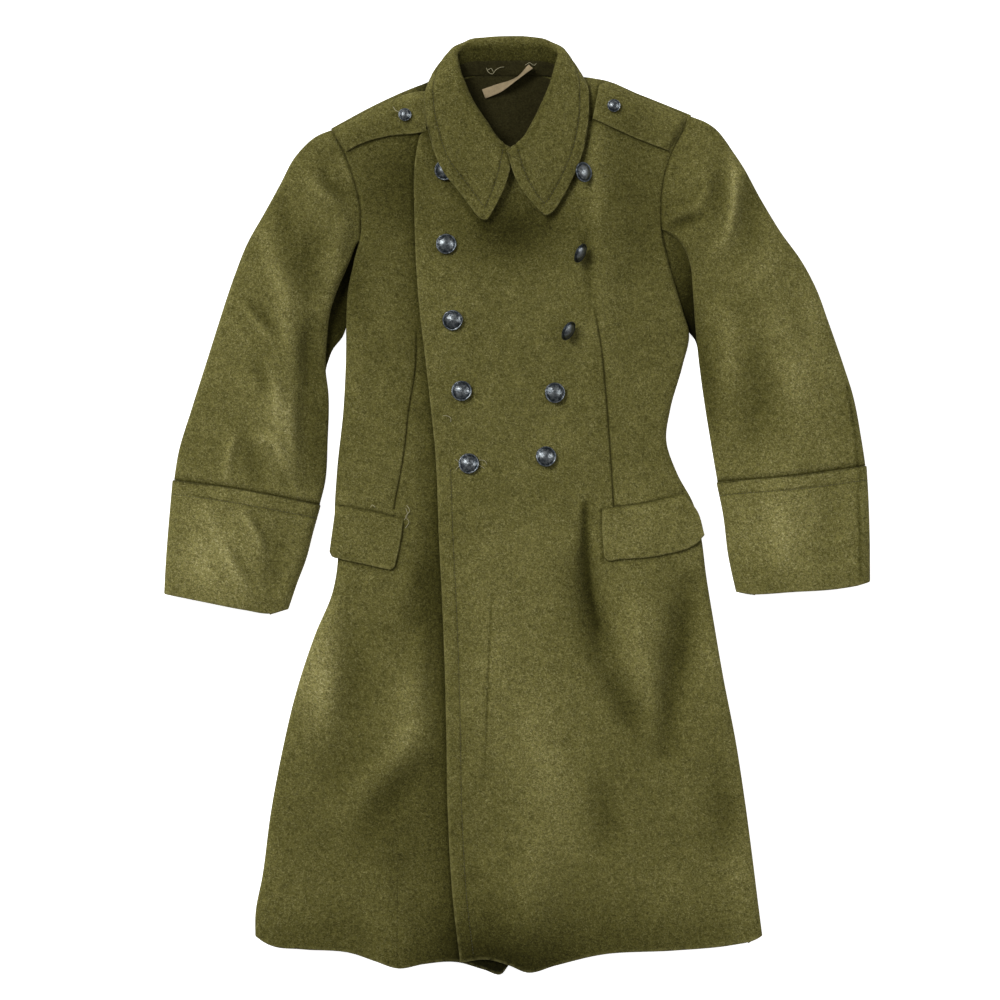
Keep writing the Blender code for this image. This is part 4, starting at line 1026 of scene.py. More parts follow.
def wool_material(name, dark, light, fleck, worn, fleck_share):
    """Felted melton: mottled dyed wool with pale stray fibres lying all ways, and rubbed edges; the tone attribute
    scales the colour with painted light and shade.
    """
    material, tree, shader = new_material(name)
    place = places_of(tree)
    broad = noise(tree, place, 11.0, 3.0, 0.55)
    mottle = noise(tree, place, 150.0, 4.0, 0.62)
    grain = noise(tree, place, 470.0, 3.0, 0.6, 0.4)
    fibres = None
    for angle, shift in ((0.2, 0.0), (0.95, 1.7), (1.75, 3.1), (2.5, 4.9)):
        strand = noise(tree, turned(tree, place, angle, 0.3, shift), 820.0, 1.5, 0.5, 0.6)
        strand = span(tree, strand, 0.60, 0.76)
        fibres = strand if fibres is None else sums(tree, "MAXIMUM", fibres, strand)
    pits = span(tree, noise(tree, turned(tree, place, 1.3, 0.5, 7.0), 520.0, 2.0, 0.55), 0.46, 0.30)
    tone = sums(tree, "ADD", sums(tree, "MULTIPLY", mottle, 0.36), sums(tree, "MULTIPLY", grain, 0.64))
    colour = blend_colour(tree, span(tree, tone, 0.38, 0.62), dark, light)
    colour = blend_colour(tree, sums(tree, "MULTIPLY", fibres, fleck_share), colour, fleck)
    colour = blend_colour(tree, sums(tree, "MULTIPLY", pits, 0.65), colour, [c * 0.6 for c in dark[:3]] + [1.0])
    # The tone attribute is painted light and shade: it scales the colour, the blue most where it darkens
    painted_tone = marked(tree, "tone")
    level = sums(tree, "MULTIPLY", span(tree, broad, 0.3, 0.7, 0.9, 1.1), painted_tone)
    level = sums(tree, "MULTIPLY", level, span(tree, noise(tree, place, 42.0, 3.0, 0.6), 0.3, 0.7, 0.92, 1.08))
    shade = node_of(tree, "CombineColor", {0: level, 1: level, 2: sums(tree, "POWER", level, 1.3)})
    colour = blend_colour(tree, 1.0, colour, shade.outputs[0], "MULTIPLY")
    edge = marked(tree, "rim")
    rubbed = sums(tree, "MULTIPLY", edge, span(tree, mottle, 0.35, 0.65, 0.0, 0.4))
    colour = blend_colour(tree, rubbed, colour, worn)
    tree.links.new(colour, shader.inputs["Base Color"])
    shader.inputs["Roughness"].default_value = 0.95
    shader.inputs["Specular IOR Level"].default_value = 0.03
    shader.inputs["Sheen Weight"].default_value = 0.025
    shader.inputs["Sheen Roughness"].default_value = 0.6
    shader.inputs["Sheen Tint"].default_value = (0.75, 0.72, 0.5, 1.0)
    relief = sums(tree, "ADD", sums(tree, "MULTIPLY", grain, 0.7), sums(tree, "MULTIPLY", fibres, 0.5))
    relief = sums(tree, "ADD", relief, sums(tree, "MULTIPLY", mottle, 0.6))
    bump(tree, shader, relief, 0.55, 0.0011)
    return material


def tape_material(name, colour, dark):
    """Narrow cotton tape in a herringbone, soiled along its middle."""
    material, tree, shader = new_material(name)
    place = places_of(tree)
    slanted = turned(tree, place, 1.05, 1.0)
    ribs = node_of(tree, "TexWave", {"Vector": slanted, "Scale": 260.0, "Distortion": 0.6}).outputs["Fac"]
    soil = noise(tree, place, 90.0, 4.0, 0.6)
    shade = sums(tree, "MULTIPLY", ribs, 0.35)
    shade = sums(tree, "ADD", shade, span(tree, soil, 0.35, 0.7, 0.0, 0.6))
    tree.links.new(blend_colour(tree, shade, colour, dark), shader.inputs["Base Color"])
    shader.inputs["Roughness"].default_value = 0.9
    shader.inputs["Specular IOR Level"].default_value = 0.2
    bump(tree, shader, ribs, 0.4, 0.0004)
    return material


def thread_material(name, colour):
    """Twisted sewing thread."""
    material, tree, shader = new_material(name)
    place = places_of(tree)
    twist = noise(tree, place, 1500.0, 2.0, 0.6)
    deep = [c * 0.6 for c in colour[:3]] + [1.0]
    tree.links.new(blend_colour(tree, span(tree, twist, 0.35, 0.65), deep, colour), shader.inputs["Base Color"])
    shader.inputs["Roughness"].default_value = 0.8
    bump(tree, shader, twist, 0.4, 0.0003)
    return material


def metal_material(name):
    """Blackened metal, rubbed bright on the dome and the rim; the rim attribute also brings painted highlight and
    shade.
    """
    material, tree, shader = new_material(name)
    place = places_of(tree)
    patch = noise(tree, place, 260.0, 4.0, 0.6, 0.5)
    fine = noise(tree, place, 1400.0, 3.0, 0.6)
    edge = marked(tree, "rim")
    bright = sums(tree, "ADD", span(tree, patch, 0.42, 0.62, 0.0, 0.8), sums(tree, "MULTIPLY", edge, 0.5))
    bright = sums(tree, "MAXIMUM", sums(tree, "MINIMUM", bright, 1.0), 0.0)
    colour = blend_colour(tree, bright, (0.018, 0.024, 0.03, 1.0), (0.155, 0.168, 0.174, 1.0))
    tree.links.new(colour, shader.inputs["Base Color"])
    shader.inputs["Metallic"].default_value = 0.85
    tree.links.new(span(tree, fine, 0.3, 0.7, 0.24, 0.42), shader.inputs["Roughness"])
    relief = sums(tree, "ADD", sums(tree, "MULTIPLY", patch, 1.0), sums(tree, "MULTIPLY", fine, 0.2))
    bump(tree, shader, relief, 0.5, 0.0012)
    return material


# Pieces
def eased_rolls(grid, left=True, right=True):
    """Takes out the kink where a panel's cloth starts to roll round."""
    columns = np.arange(grid.shape[1])
    first, last = ROLL_STEPS + 2, grid.shape[1] - ROLL_STEPS - 3
    share = left * np.exp(-(((columns - first) / ROLL_EASE_REACH) ** 2))
    share = share + right * np.exp(-(((columns - last) / ROLL_EASE_REACH) ** 2))
    for _ in range(ROLL_EASE_PASSES):
        mean = (grid[:, :-2] + grid[:, 2:]) / 2
        grid[:, 1:-1] += 0.5 * share[None, 1:-1, None] * (mean - grid[:, 1:-1])
    return grid


def add_piece(name, mesh, material, node=None):
    """A named piece on the coat's body, standing for a solid where one is named."""
    piece = bpy.data.objects.new(name, mesh)
    mesh.materials.append(material)
    bpy.context.scene.collection.objects.link(piece)
    mesh.polygons.foreach_set("use_smooth", [True] * len(mesh.polygons))
    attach(piece, "root")
    if node:
        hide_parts(node)
    return piece


def set_rim(mesh, values, shade=1.0):
    """Marks how far each point is rubbed, on the buttons with painted highlight and shade, and its tone of painted
    light and shade.
    """
    mesh.attributes.new("rim", "FLOAT", "POINT").data.foreach_set("value", np.asarray(values, dtype=np.float32))
    places = np.zeros(len(mesh.vertices) * 3)
    mesh.vertices.foreach_get("co", places)
    places = places.reshape(-1, 3) / MM
    tone = (painted_light_tones(places[:, 0], places[:, 1]) * shade).astype(np.float32)
    mesh.attributes.new("tone", "FLOAT", "POINT").data.foreach_set("value", tone)


def new_mesh(name, points, faces):
    """A mesh from points in millimetres."""
    mesh = bpy.data.meshes.new(name)
    mesh.from_pydata((np.asarray(points) * MM).tolist(), [], faces)
    mesh.update()
    return mesh


def reaches(grid, axis):
    """Length along a grid's lines from their start to each point."""
    steps = np.linalg.norm(np.diff(grid, axis=axis), axis=2)
    return np.cumsum(np.insert(steps, 0, 0.0, axis=axis), axis=axis)


def band(upper, lower):
    """Faces between two closed rings of points."""
    return np.stack([upper, lower, np.roll(lower, -1), np.roll(upper, -1)], axis=1)


def normals_of(grid):
    return unit(np.cross(np.gradient(grid, axis=1), np.gradient(grid, axis=0)))


def add_cloth(name, grid, thickness, material, node, free=(0, 0, 0, 0),
              shade=None):
    """Closed cloth about a grid of points, with rounded edges. Returns its upper points.

    free says how far each free edge is rubbed lighter: left, right, low, high. shade is the painted shade of
    the points, or a function of the plan that gives it."""
    rows, columns = grid.shape[:2]
    along_u, along_v = unit(np.gradient(grid, axis=1)), unit(np.gradient(grid, axis=0))
    normal = unit(np.cross(along_u, along_v))
    index = np.arange(rows * columns).reshape(rows, columns)
    outward = np.zeros_like(grid)
    outward[0] -= along_v[0]
    outward[-1] += along_v[-1]
    outward[:, 0] -= along_u[:, 0]
    outward[:, -1] += along_u[:, -1]
    outward = outward - normal * np.sum(outward * normal, axis=2)[..., None]
    rim = np.linalg.norm(outward, axis=2) > 0.1
    outward[rim] = unit(outward[rim])
    inset = np.zeros((rows, columns))
    inset[:, 0] = free[0] > 0
    inset[:, -1] = free[1] > 0
    inset[0] = np.maximum(inset[0], free[2] > 0)
    inset[-1] = np.maximum(inset[-1], free[3] > 0)
    middle = grid - outward * (rim * inset)[..., None] * thickness / 2
    half = thickness / 2
    top, under = middle + normal * half, middle - normal * half
    loop = np.concatenate([index[0, :-1], index[:-1, -1], index[-1, :0:-1], index[:0:-1, 0]])
    flat_middle, flat_out = middle.reshape(-1, 3)[loop], outward.reshape(-1, 3)[loop]
    flat_normal = normal.reshape(-1, 3)[loop]
    rings = [flat_middle + half * (flat_out * math.cos(a) + flat_normal * math.sin(a))
             for a in np.radians((45.0, 0.0, -45.0))]
    points = np.concatenate([top.reshape(-1, 3), under.reshape(-1, 3)] + rings)
    quads = np.stack([index[:-1, :-1], index[:-1, 1:], index[1:, 1:], index[1:, :-1]], axis=2).reshape(-1, 4)
    count = rows * columns
    chain = [loop] + [2 * count + k * len(loop) + np.arange(len(loop)) for k in range(3)] + [loop + count]
    bands = [band(upper, lower) for upper, lower in zip(chain[:-1], chain[1:])]
    faces = np.concatenate([quads, quads[:, ::-1] + count] + bands)
    mesh = new_mesh(name, points, faces.tolist())
    reach_u, reach_v = reaches(grid, 1), reaches(grid, 0)
    near = np.zeros((rows, columns))
    for rubbed, apart in zip(free, (reach_u, reach_u[:, -1:] - reach_u, reach_v, reach_v[-1:] - reach_v)):
        if rubbed:
            near = np.maximum(near, rubbed * np.exp(-((apart / RIM_REACH) ** 2)))
    if shade is None:
        shade = np.ones((rows, columns))
    elif callable(shade):
        shade = shade(grid[..., 0], grid[..., 1])
    flat, shade = near.reshape(-1), shade.reshape(-1)
    set_rim(mesh, *(np.concatenate([part, part] + [part[loop]] * 3) for part in (flat, shade)))
    piece = add_piece(name, mesh, material, node)
    return top


def signed_area(points):
    nexts = np.roll(points, -1, axis=0)
    return np.sum(points[:, 0] * nexts[:, 1] - nexts[:, 0] * points[:, 1]) / 2


def add_plate(name, outline, floor, thickness, material, node, shade=1.0, rise=0.0):
    """Flat cloth from its outline, with rounded edges, its underside at a height and a rise along it."""
    points = np.array(outline, dtype=float)[:, :2]
    shade, rise = np.broadcast_to(shade, (len(points),)), np.broadcast_to(rise, (len(points),))
    if signed_area(points) < 0:
        points, shade, rise = points[::-1], shade[::-1], rise[::-1]
    run = unit(np.roll(points, -1, axis=0) - np.roll(points, 1, axis=0))
    out = np.stack([run[:, 1], -run[:, 0]], axis=1)
    half = thickness / 2
    count = len(points)
    rings = []
    for angle in np.radians((90.0, 45.0, 0.0, -45.0, -90.0)):
        spot = points + out * half * (math.cos(angle) - 1.0)
        rings.append(np.column_stack([spot, floor + half + half * math.sin(angle) + rise]))
    step = np.arange(count)
    faces = [tuple(range(count)), tuple(range(5 * count - 1, 4 * count - 1, -1))]
    for k in range(4):
        faces += band(step + k * count, step + (k + 1) * count).tolist()
    mesh = new_mesh(name, np.concatenate(rings), faces)
    # shade is painted shade along the outline, carried into the tone
    set_rim(mesh, np.zeros(5 * count), np.tile(shade, 5))
    piece = add_piece(name, mesh, material, node)
    for face in list(mesh.polygons)[:2]:
        face.use_smooth = False


def add_threads(name, runs, radius, material):
    """Threads: a closed tube with drawn-in ends along each run of points."""
    points, faces, sides = [], [], THREAD_SIDES
    spin = np.linspace(0.0, 2 * math.pi, sides, endpoint=False)
    for run in runs:
        run = np.asarray(run, dtype=float)
        way = unit(np.gradient(run, axis=0))
        side = unit(np.cross(way, np.array([0.13, 0.21, 0.97])))
        up = np.cross(side, way)
        size = np.full(len(run), radius)
        size[[0, -1]] *= THREAD_TAPER
        base = len(points)
        for centre, s, w, r in zip(run, side, up, size):
            for a in spin:
                points.append(centre + r * (math.cos(a) * s + math.sin(a) * w))
        for i in range(len(run) - 1):
            for k in range(sides):
                a, b = base + i * sides + k, base + i * sides + (k + 1) % sides
                faces.append((a, b, b + sides, a + sides))
        faces.append(tuple(range(base + sides - 1, base - 1, -1)))
        last = base + (len(run) - 1) * sides
        faces.append(tuple(range(last, last + sides)))
    add_piece(name, new_mesh(name, points, faces), material)


def stitches(points, normals):
    """Runs of single stitches along a line on the cloth."""
    far = np.concatenate([[0.0], np.cumsum(np.linalg.norm(np.diff(points, axis=0), axis=1))])
    runs = []
    start = STITCH_GAP
    while start + STITCH < far[-1]:
        at = np.linspace(start, start + STITCH, 5)
        spot = np.stack([np.interp(at, far, points[:, k]) for k in range(3)], axis=1)
        up = unit(np.stack([np.interp(at, far, normals[:, k]) for k in range(3)], axis=1))
        bow = np.array([-0.25, 0.12, 0.2, 0.12, -0.25]) + STITCH_LIFT
        runs.append(spot + up * bow[:, None])
        start += STITCH + STITCH_GAP
    return runs


def add_button(name, row, radius, height, shank, rubbed=0.0):
    """A domed button with a raised rim, turned about its axis and set down until it clears the cloth."""
    section = (SHANK if shank else [BUTTON_BACK]) + BUTTON_PROFILE
    tilt, lean = math.radians(row.tilt), math.radians(row.lean)

    def placed(px, py, pz):
        tx, tz = px * math.cos(tilt) + pz * math.sin(tilt), pz * math.cos(tilt) - px * math.sin(tilt)
        x = row.x + tx * math.cos(lean) - py * math.sin(lean)
        return x, row.y + tx * math.sin(lean) + py * math.cos(lean), tz

    spin = np.linspace(0.0, 2 * math.pi, 48, endpoint=False)
    needed = -1000.0
    for p in section:
        x, y, z = placed(p.x * radius * np.cos(spin), p.x * radius * np.sin(spin), p.y * radius + 0 * spin)
        needed = max(needed, float(np.max(height(x, y) + CLOTH / 2 + BUTTON_GAP - z)))
    fine = (FINE_SHANK if shank else [FINE_BACK]) + FINE_PROFILE
    points, rims, faces = [], [], []
    for share, rise, bright in fine[1:-1]:
        x, y, z = placed(share * radius * np.cos(spin), share * radius * np.sin(spin), rise * radius + 0 * spin)
        points += np.column_stack([x, y, z + needed]).tolist()
        # On tipped buttons rubbed is a painted highlight on the dome and painted shade on the rim
        rims += [bright + (rubbed if share < 0.75 else -rubbed)] * len(spin)
    count = len(spin)
    for share, rise, bright in (fine[0], fine[-1]):
        x, y, z = placed(0.0, 0.0, rise * radius)
        points.append([x, y, z + needed])
        rims.append(bright + rubbed)
    rings = len(fine) - 2
    low, top = len(points) - 2, len(points) - 1
    for k in range(count):
        nxt = (k + 1) % count
        faces.append((low, nxt, k))
        for r in range(rings - 1):
            faces.append((r * count + k, r * count + nxt, (r + 1) * count + nxt, (r + 1) * count + k))
        faces.append(((rings - 1) * count + k, (rings - 1) * count + nxt, top))
    mesh = new_mesh(name, points, faces)
    set_rim(mesh, rims)
    add_piece(name, mesh, metal, name.replace("metal_", ""))


wool = wool_material("melton", (0.051, 0.046, 0.0115, 1), (0.128, 0.117, 0.033, 1), (0.31, 0.287, 0.12, 1),
                     (0.19, 0.175, 0.065, 1), 0.55)
wool_in = wool_material("melton_inside", (0.014, 0.012, 0.0036, 1), (0.026, 0.023, 0.0075, 1),
                        (0.05, 0.045, 0.02, 1), (0.05, 0.045, 0.02, 1), 0.3)
tape_cloth = tape_material("cotton_tape", (0.30, 0.235, 0.135, 1), (0.15, 0.115, 0.065, 1))
thread_dark = thread_material("thread_dark", (0.055, 0.05, 0.018, 1))
thread_pale = thread_material("thread_pale", (0.36, 0.33, 0.19, 1))
metal = metal_material("button_metal")

# Back: flat on the surface
back_outline = np.concatenate([
    run_of(BACK_HEM, 60),
    inset_run(LEFT_SIDE, 160, 1, BACK_INSET, span=(0.008, 0.985)),
    run_of(LEFT_SHOULDER, 20, BACK_SHOULDER, backwards=True, span=(0.0, 0.97)),
    run_of(BACK_NECK, 30, span=(0.08, 0.92)),
    run_of(RIGHT_SHOULDER, 20, BACK_SHOULDER, backwards=True, span=(0.03, 1.0)),
    inset_run(RIGHT_SIDE, 160, -1, BACK_INSET, backwards=True, span=(0.008, 0.985)),
])
add_plate("cloth_back", back_outline, 0.0, CLOTH, wool, "back")

# Fronts
right_top = smooth_line(RIGHT_SHOULDER + RIGHT_NECK[1:])
left_top = smooth_line(LEFT_NECK + LEFT_SHOULDER[1:])
front_rows = steps_of(FRONT_ROWS, [(FLAP_ROW, 0.02, 0.0011)])
add_cloth(
    "cloth_front_right",
    eased_rolls(
        panel(smooth_line(RIGHT_SIDE), smooth_line(UNDER_EDGE), smooth_line(RIGHT_HEM), right_top, right_sewn,
              steps_of(84, [(RIGHT_DART_SHARE, 0.014, 0.0028)]), front_rows, (BODY_ROLL, None), CLOTH, (0.0,),
              sewn=(RIGHT_DART_SHARE, RIGHT_DART), reach=HEM_REACH),
        right=False,
    ),
    CLOTH, wool, "front_right", free=(0, 0, 1, 0), shade=under_painted_shade,
)
add_cloth(
    "cloth_front_left",
    eased_rolls(
        panel(smooth_line(OVER_EDGE), smooth_line(LEFT_SIDE), smooth_line(LEFT_HEM), left_top, left_sewn,
              steps_of(92, [(0.05, 0.012, 0.003), (0.16, 0.036, 0.004), (LEFT_DART_SHARE, 0.0125, 0.0025)]),
              front_rows, (None, BODY_ROLL), CLOTH, (0.0,), sewn=(LEFT_DART_SHARE, LEFT_DART), reach=HEM_REACH),
        left=False,
    ),
    CLOTH, wool, "front_left", free=(1, 0, 1, 0),
    shade=front_painted_shade,
)

# Sleeves and cuffs, over flat under pieces
for name, left, right, cuff_seam, armhole, folds, creases in (
    ("right", RIGHT_OUTER, RIGHT_INNER, RIGHT_CUFF_SEAM, RIGHT_ARMHOLE, RIGHT_SLEEVE_FOLDS, RIGHT_SLEEVE_CREASES),
    ("left", LEFT_INNER, LEFT_OUTER, LEFT_CUFF_SEAM, LEFT_ARMHOLE, LEFT_SLEEVE_FOLDS, LEFT_SLEEVE_CREASES),
):
    rows = steps_of(SLEEVE_ROWS, [(0.015, 0.015, 0.0025), (0.986, 0.014, 0.0028)])
    grid = panel(smooth_line(left), smooth_line(right), smooth_line(cuff_seam), smooth_line(armhole),
                 sleeve_height(folds, creases, armhole), steps_of(SLEEVE_COLUMNS), rows,
                 (SLEEVE_ROLL, SLEEVE_ROLL), CLOTH, (0.0,))
    # The head runs under the front's edge at the armhole seam
    tuck = ARMHOLE_TUCK * np.exp(-(((1.0 - rows) * SLEEVE_RUN / ARMHOLE_TUCK_REACH) ** 2))
    grid[..., 0] += (tuck if name == "right" else -tuck)[:, None]
    add_cloth("cloth_sleeve_" + name + "_top", eased_rolls(grid), CLOTH, wool, "sleeve_" + name + "_top")
cuff_lines = []
for name, left, right, hem, cuff_seam, creases in (
    ("right", RIGHT_CUFF_OUTER, RIGHT_CUFF_INNER, RIGHT_CUFF_HEM, RIGHT_CUFF_SEAM, RIGHT_CUFF_CREASES),
    ("left", LEFT_CUFF_INNER, LEFT_CUFF_OUTER, LEFT_CUFF_HEM, LEFT_CUFF_SEAM, LEFT_CUFF_CREASES),
):
    lowered = [Edge(p.x, p.y - 1.0) for p in cuff_seam]
    rows = steps_of(CUFF_ROWS, [(CUFF_LINE, 0.04, 0.008), (0.98, 0.02, 0.005)])
    grid = panel(smooth_line(left), smooth_line(right), smooth_line(hem), smooth_line(lowered),
                 cuff_height(creases), steps_of(SLEEVE_COLUMNS), rows, (SLEEVE_ROLL, SLEEVE_ROLL), CUFF_CLOTH,
                 (0.0, 1.0))
    top = add_cloth("cloth_cuff_" + name + "_top", grid, CUFF_CLOTH, wool, "cuff_" + name + "_top",
                    free=(0, 0, 1, 0.05))
    row = int(np.argmin(np.abs(rows - CUFF_LINE)))
    cuff_lines += stitches(top[row, 6:-6], normals_of(top)[row, 6:-6])
    add_plate(
        "cloth_cuff_" + name + "_under",
        np.concatenate([
            inset_run(left, 30, -1, BACK_INSET, backwards=True, span=(0.03, 1.0)),
            run_of(hem, 40, (0.0, 2.0), span=(0.03, 0.97)),
            inset_run(right, 30, 1, BACK_INSET, span=(0.03, 1.0)),
        ]),
        0.0, CLOTH, wool, "cuff_" + name + "_under",
    )
# Painted light and shade on the under sleeves: the left one has painted light at the armhole, and both have painted
# deep shade where the arm leaves the body
down = np.linspace(0.0, 1.0, UNDER_COUNTS[2])
armpit_rise = np.concatenate([
    np.zeros(UNDER_COUNTS[0]), ARMPIT_RISES[0] * np.linspace(0.0, 1.0, UNDER_COUNTS[1]) ** 3,
    np.interp(down, ARMPIT_STEPS, ARMPIT_RISES), np.zeros(UNDER_COUNTS[3]),
])
for name, side, outer, armhole, shift, wedge, inner, inner_end, shades, rise in (
    ("right", -1, RIGHT_OUTER, RIGHT_ARMHOLE, 1.4, RIGHT_WEDGE, RIGHT_INNER, 0.48, RIGHT_WEDGE_PAINTED_SHADES, 0.0),
    ("left", 1, LEFT_OUTER, LEFT_ARMHOLE, -3.4, LEFT_WEDGE, LEFT_INNER, 0.43, LEFT_WEDGE_PAINTED_LIGHT_AND_SHADE, armpit_rise),
):
    add_plate(
        "cloth_sleeve_" + name + "_under",
        np.concatenate([
            inset_run(outer, UNDER_COUNTS[0], side, BACK_INSET, span=(0.003, 0.985)),
            run_of(armhole, UNDER_COUNTS[1], (shift, 0.0), backwards=side > 0, span=(0.02, 0.98)),
            run_of(wedge, UNDER_COUNTS[2]),
            inset_run(inner, UNDER_COUNTS[3], -side, BACK_INSET, backwards=True, span=(0.003, inner_end)),
        ]),
        0.0, CLOTH, wool, "sleeve_" + name + "_under",
        shade=np.concatenate([
            np.full(UNDER_COUNTS[0], UNDER_SLEEVE_PAINTED_SHADE), np.full(UNDER_COUNTS[1], shades[0]),
            np.interp(down, ARMPIT_STEPS, shades), np.full(UNDER_COUNTS[3], UNDER_SLEEVE_PAINTED_SHADE),
        ]),
        rise=rise,
    )


def pressed(far):
    """How far the collar's stitching presses the cloth in, by the distance from an edge."""
    return np.exp(-(((far - COLLAR_STITCH_INSET) / COLLAR_PRESS_WIDTH) ** 2))


def at_stitching(far, rows):
    """The row at the stitching's distance along a line."""
    return [np.interp(COLLAR_STITCH_INSET, far, rows[:, k]) for k in range(3)]


# Collar: the fall runs over the fold and a little way down the inside to meet the stand
ring = collar_grid(COLLAR_SECTIONS, COLLAR_STEPS)
ring[..., 2] += 0.3 * ripple(ring[..., 0] * 1.7, ring[..., 1] * 1.7)
ring[..., 2] = np.maximum(ring[..., 2], CLOTH / 2 + 0.05)
stand = ring[:, : SEAM_COLUMN + 1].copy()
fall = ring[:, SEAM_COLUMN:].copy()
toward = unit(ring[:, SEAM_COLUMN + 1] - ring[:, SEAM_COLUMN])
stand[:, -1] = stand[:, -1] - toward * SEAM_HALF
fall[:, 0] = fall[:, 0] + toward * SEAM_HALF
add_cloth("cloth_collar_stand", stand[:, ::-1], CLOTH, wool_in, "collar_stand")
fall = fall[:, ::-1]
from_edge, ends_far = reaches(fall, 1), reaches(fall, 0)
up = normals_of(fall)
press = pressed(from_edge)
near_end = np.minimum(ends_far, ends_far[-1:] - ends_far)
press = np.maximum(press, pressed(near_end) * (from_edge > COLLAR_STITCH_INSET))
press = press * (near_end > COLLAR_STITCH_INSET - 4)
fall = fall - up * (COLLAR_PRESS * press)[..., None]
# The inside of the fold gets painted shade, darkest at the back of the neck
from_seam = from_edge[:, -1:] - from_edge
back_share = ease((fall[:, -1, 1] - 520.0) / 30.0)[:, None]
inside = NECK_SHADE_BACK * back_share * (1.0 - ease((from_seam - 13.0) / 15.0))
inside = inside + NECK_SHADE_FRONT * (1.0 - back_share) * (from_seam < 30.0)
collar_painted_shade = COLLAR_TONE * (1.0 - COLLAR_PRESS_SHADE * press) * (1.0 - inside)
# Painted shadow on the right end along the edge of the left end that lies over it
lapped = len(fall) // 6
over_line = fall[-1, :, :2]
apart = np.linalg.norm(fall[:lapped, :, None, :2] - over_line[None, None], axis=3).min(axis=2)
collar_painted_shade[:lapped] *= 1.0 - COLLAR_LAP_SHADE * np.exp(-((apart / COLLAR_LAP_REACH) ** 2))
collar_top = add_cloth("cloth_collar_fall", fall, CLOTH, wool, "collar_fall",
                       free=(1, 0, 1, 1), shade=collar_painted_shade)
collar_up = normals_of(collar_top)
edge_line, edge_up = [], []
for i in range(len(fall)):
    if near_end[i, 0] > COLLAR_STITCH_INSET * 0.9:
        edge_line.append(at_stitching(from_edge[i], collar_top[i]))
        edge_up.append(at_stitching(from_edge[i], collar_up[i]))
collar_lines = stitches(np.array(edge_line), unit(np.array(edge_up)))
last_column = fall.shape[1] - COLLAR_STEPS[1] - COLLAR_STEPS[0] + SEAM_COLUMN
for step in (1, -1):
    line, line_up = [], []
    for j in range(last_column + 1):
        far = ends_far[:, j] if step > 0 else (ends_far[-1, j] - ends_far[:, j])[::-1]
        if np.interp(COLLAR_STITCH_INSET, far, from_edge[::step, j]) >= COLLAR_STITCH_INSET:
            line.append(at_stitching(far, collar_top[::step, j]))
            line_up.append(at_stitching(far, collar_up[::step, j]))
    collar_lines += stitches(np.array(line), unit(np.array(line_up)))


# Flaps and straps are the fronts' points moved out
def laid_on(height):
    return lambda x, y: height(x, y) + CLOTH + LAID_GAP


def tucked(height, edge):
    """A height over a front that sinks into its sewn edge: the top of a flap, an end of a strap."""
    def at(x, y, u, v):
        inside = {"high": (1.0 - v) / 0.12, "left": u / 0.06, "right": (1.0 - u) / 0.06}[edge]
        return height(x, y) - TUCK + (CLOTH + LAID_GAP + TUCK) * ease(0.15 + inside)
    return at


for name, low, high, middle, height, free, sewn in (
    ("flap_right", RIGHT_FLAP_LOW, RIGHT_FLAP_TOP, RIGHT_FLAP_ENDS, right_height, (1, 1, 1, 0), "high"),
    ("flap_left", LEFT_FLAP_LOW, LEFT_FLAP_TOP, LEFT_FLAP_ENDS, left_height, (1, 1, 1, 0), "high"),
    ("strap_right", RIGHT_STRAP_LOW, RIGHT_STRAP_TOP, (None, None), right_height, (0, 1, 1, 1), "left"),
    ("strap_left", LEFT_STRAP_LOW, LEFT_STRAP_TOP, (None, None), left_height, (1, 0, 1, 1), "right"),
):
    left, right = (smooth_line(end_rows(low[k], middle[k], high[k])) for k in (0, -1))
    grid = panel(left, right, smooth_line(low), smooth_line(high), tucked(height, sewn), steps_of(44), steps_of(24),
                 (None, None), CLOTH)
    add_cloth("cloth_" + name, grid, CLOTH, wool, name, free=free)

# Buttons
for name, row in FRONT_BUTTONS.items():
    # Tipped buttons get a painted highlight
    rubbed = TIPPED_PAINTED_LIGHT if row.tilt > TIPPED else 0.0
    add_button("metal_" + name, row, BUTTON_RADIUS, left_height, "_l" in name, rubbed)
for name, height in (("button_strap_right", right_height), ("button_strap_left", left_height)):
    add_button("metal_" + name, STRAP_BUTTONS[name], STRAP_BUTTON_RADIUS, laid_on(height), False)

# Inside the neck
add_plate("cloth_neck_lining", smooth_line(NECK_LINING + NECK_LINING[:1])(np.linspace(0, 1, 90, endpoint=False)),
          CLOTH + SEAM, LINING_CLOTH, wool_in, "neck_lining")
tape = smooth_line(TAPE_RUN)(np.linspace(0.0, 1.0, 60))
way = unit(np.gradient(tape[:, :2], axis=0))
twist = np.radians(tape[:, 3])
beside = np.stack([-way[:, 1] * np.cos(twist), way[:, 0] * np.cos(twist), np.sin(twist)], axis=1)
tape_grid = np.stack([tape[:, :3] + beside * TAPE_WIDTH * k for k in np.linspace(-0.5, 0.5, 13)], axis=1)
add_cloth("cloth_hanger_tape", tape_grid, TAPE_CLOTH, tape_cloth, "hanger_tape")

# Stitching
front_y = np.linspace(46.0, -572.0, 260)
front_x = over_edge_x(front_y) + FRONT_STITCH_INSET
front_z = left_sewn(front_x, front_y, 0, 0) + CLOTH / 2
front_line = np.stack([front_x, front_y, front_z], axis=1)
front_lines = stitches(front_line, np.tile([0.0, 0.0, 1.0], (len(front_line), 1)))
add_threads("stitching", front_lines + cuff_lines + collar_lines, THREAD, thread_dark)

loose = []
for cloth, points in LOOSE_THREADS:
    run = smooth_line(points)(np.linspace(0.0, 1.0, 24))
    if cloth != "neck":
        run[:, 2] += (left_height if cloth == "over" else right_height)(run[:, 0], run[:, 1]) + CLOTH / 2
    loose.append(run)
add_threads("loose_threads", loose, LOOSE_THREAD, thread_pale)

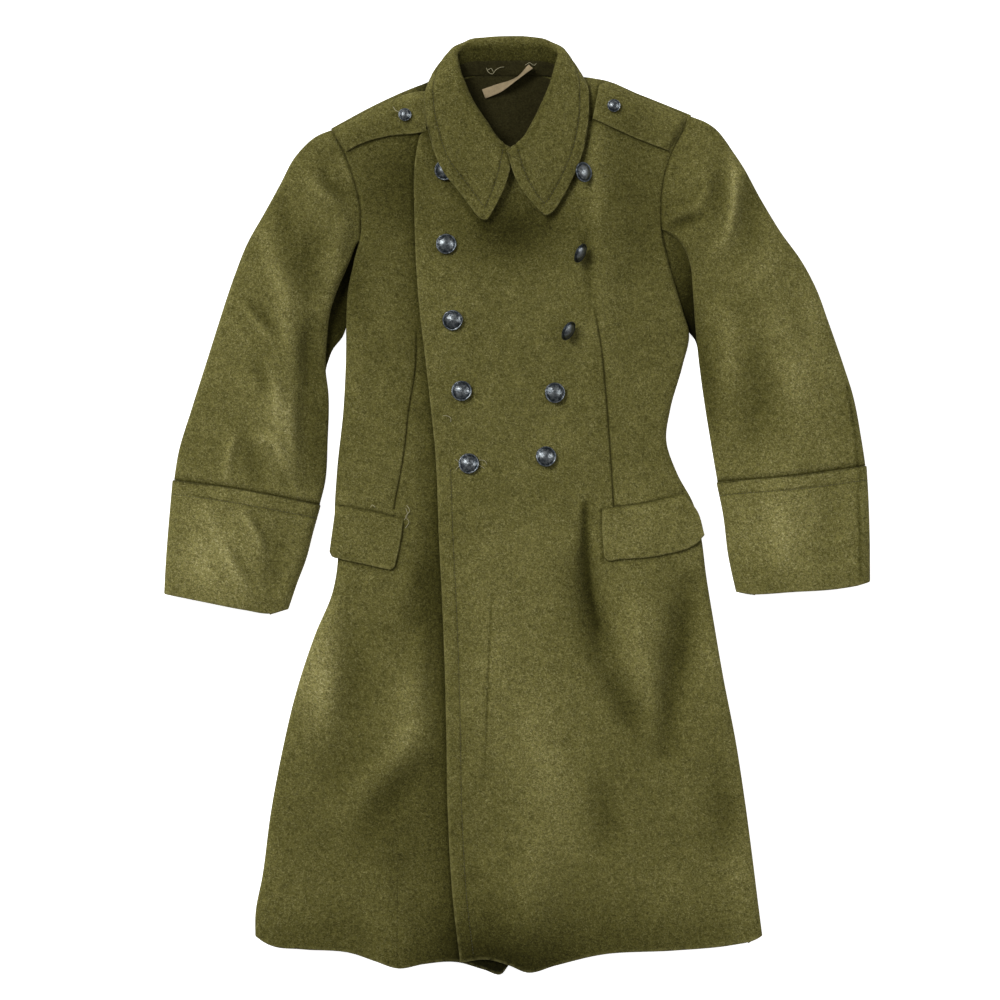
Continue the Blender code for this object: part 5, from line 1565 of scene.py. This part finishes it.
# Floor, light and camera
floor_mesh = bpy.data.meshes.new("floor")
floor_mesh.from_pydata([(-6, -6, -0.0003), (6, -6, -0.0003), (6, 6, -0.0003), (-6, 6, -0.0003)], [], [(0, 1, 2, 3)])
floor = bpy.data.objects.new("floor", floor_mesh)
bpy.context.scene.collection.objects.link(floor)
floor_material, _, floor_shader = new_material("floor")
floor_shader.inputs["Base Color"].default_value = (0.92, 0.92, 0.92, 1.0)
floor_shader.inputs["Emission Color"].default_value = (1.0, 1.0, 1.0, 1.0)
floor_shader.inputs["Emission Strength"].default_value = 0.86
floor_shader.inputs["Roughness"].default_value = 0.9
floor_shader.inputs["Specular IOR Level"].default_value = 0.1
floor_mesh.materials.append(floor_material)

# Suns: energy, angle and place; the glint is a card at the right that only the metal shows
for name, energy, angle, place in (
    ("key", 3.2, 26.0, (-1.65, 1.25, 2.1)),
    ("fill", 0.6, 16.0, (1.9, 0.5, 1.5)),
    ("glint", 1.3, 30.0, (1.9, 0.3, 1.2)),
):
    sun = bpy.data.lights.new(name, "SUN")
    sun.energy = energy
    sun.angle = math.radians(angle)
    sun_object = bpy.data.objects.new(name, sun)
    sun_object.location = place
    sun_object.rotation_euler = (-sun_object.location).to_track_quat("-Z", "Y").to_euler()
    sun_object.visible_diffuse = name != "glint"
    bpy.context.scene.collection.objects.link(sun_object)
world = bpy.data.worlds.new("studio")
world.use_nodes = True
world.node_tree.nodes["Background"].inputs["Color"].default_value = (1.0, 1.0, 1.0, 1.0)
world.node_tree.nodes["Background"].inputs["Strength"].default_value = 0.3
bpy.context.scene.world = world
bpy.context.scene.view_settings.view_transform = "Standard"

lens = bpy.data.cameras.new("camera")
lens.sensor_width = 36.0
lens.lens = 36.0 * CAMERA_RISE / CAMERA_SPAN
camera = bpy.data.objects.new("camera", lens)
camera.location = (CAMERA_X * MM, CAMERA_Y * MM, (CAMERA_RISE + CAMERA_LEVEL) * MM)
bpy.context.scene.collection.objects.link(camera)
bpy.context.scene.camera = camera
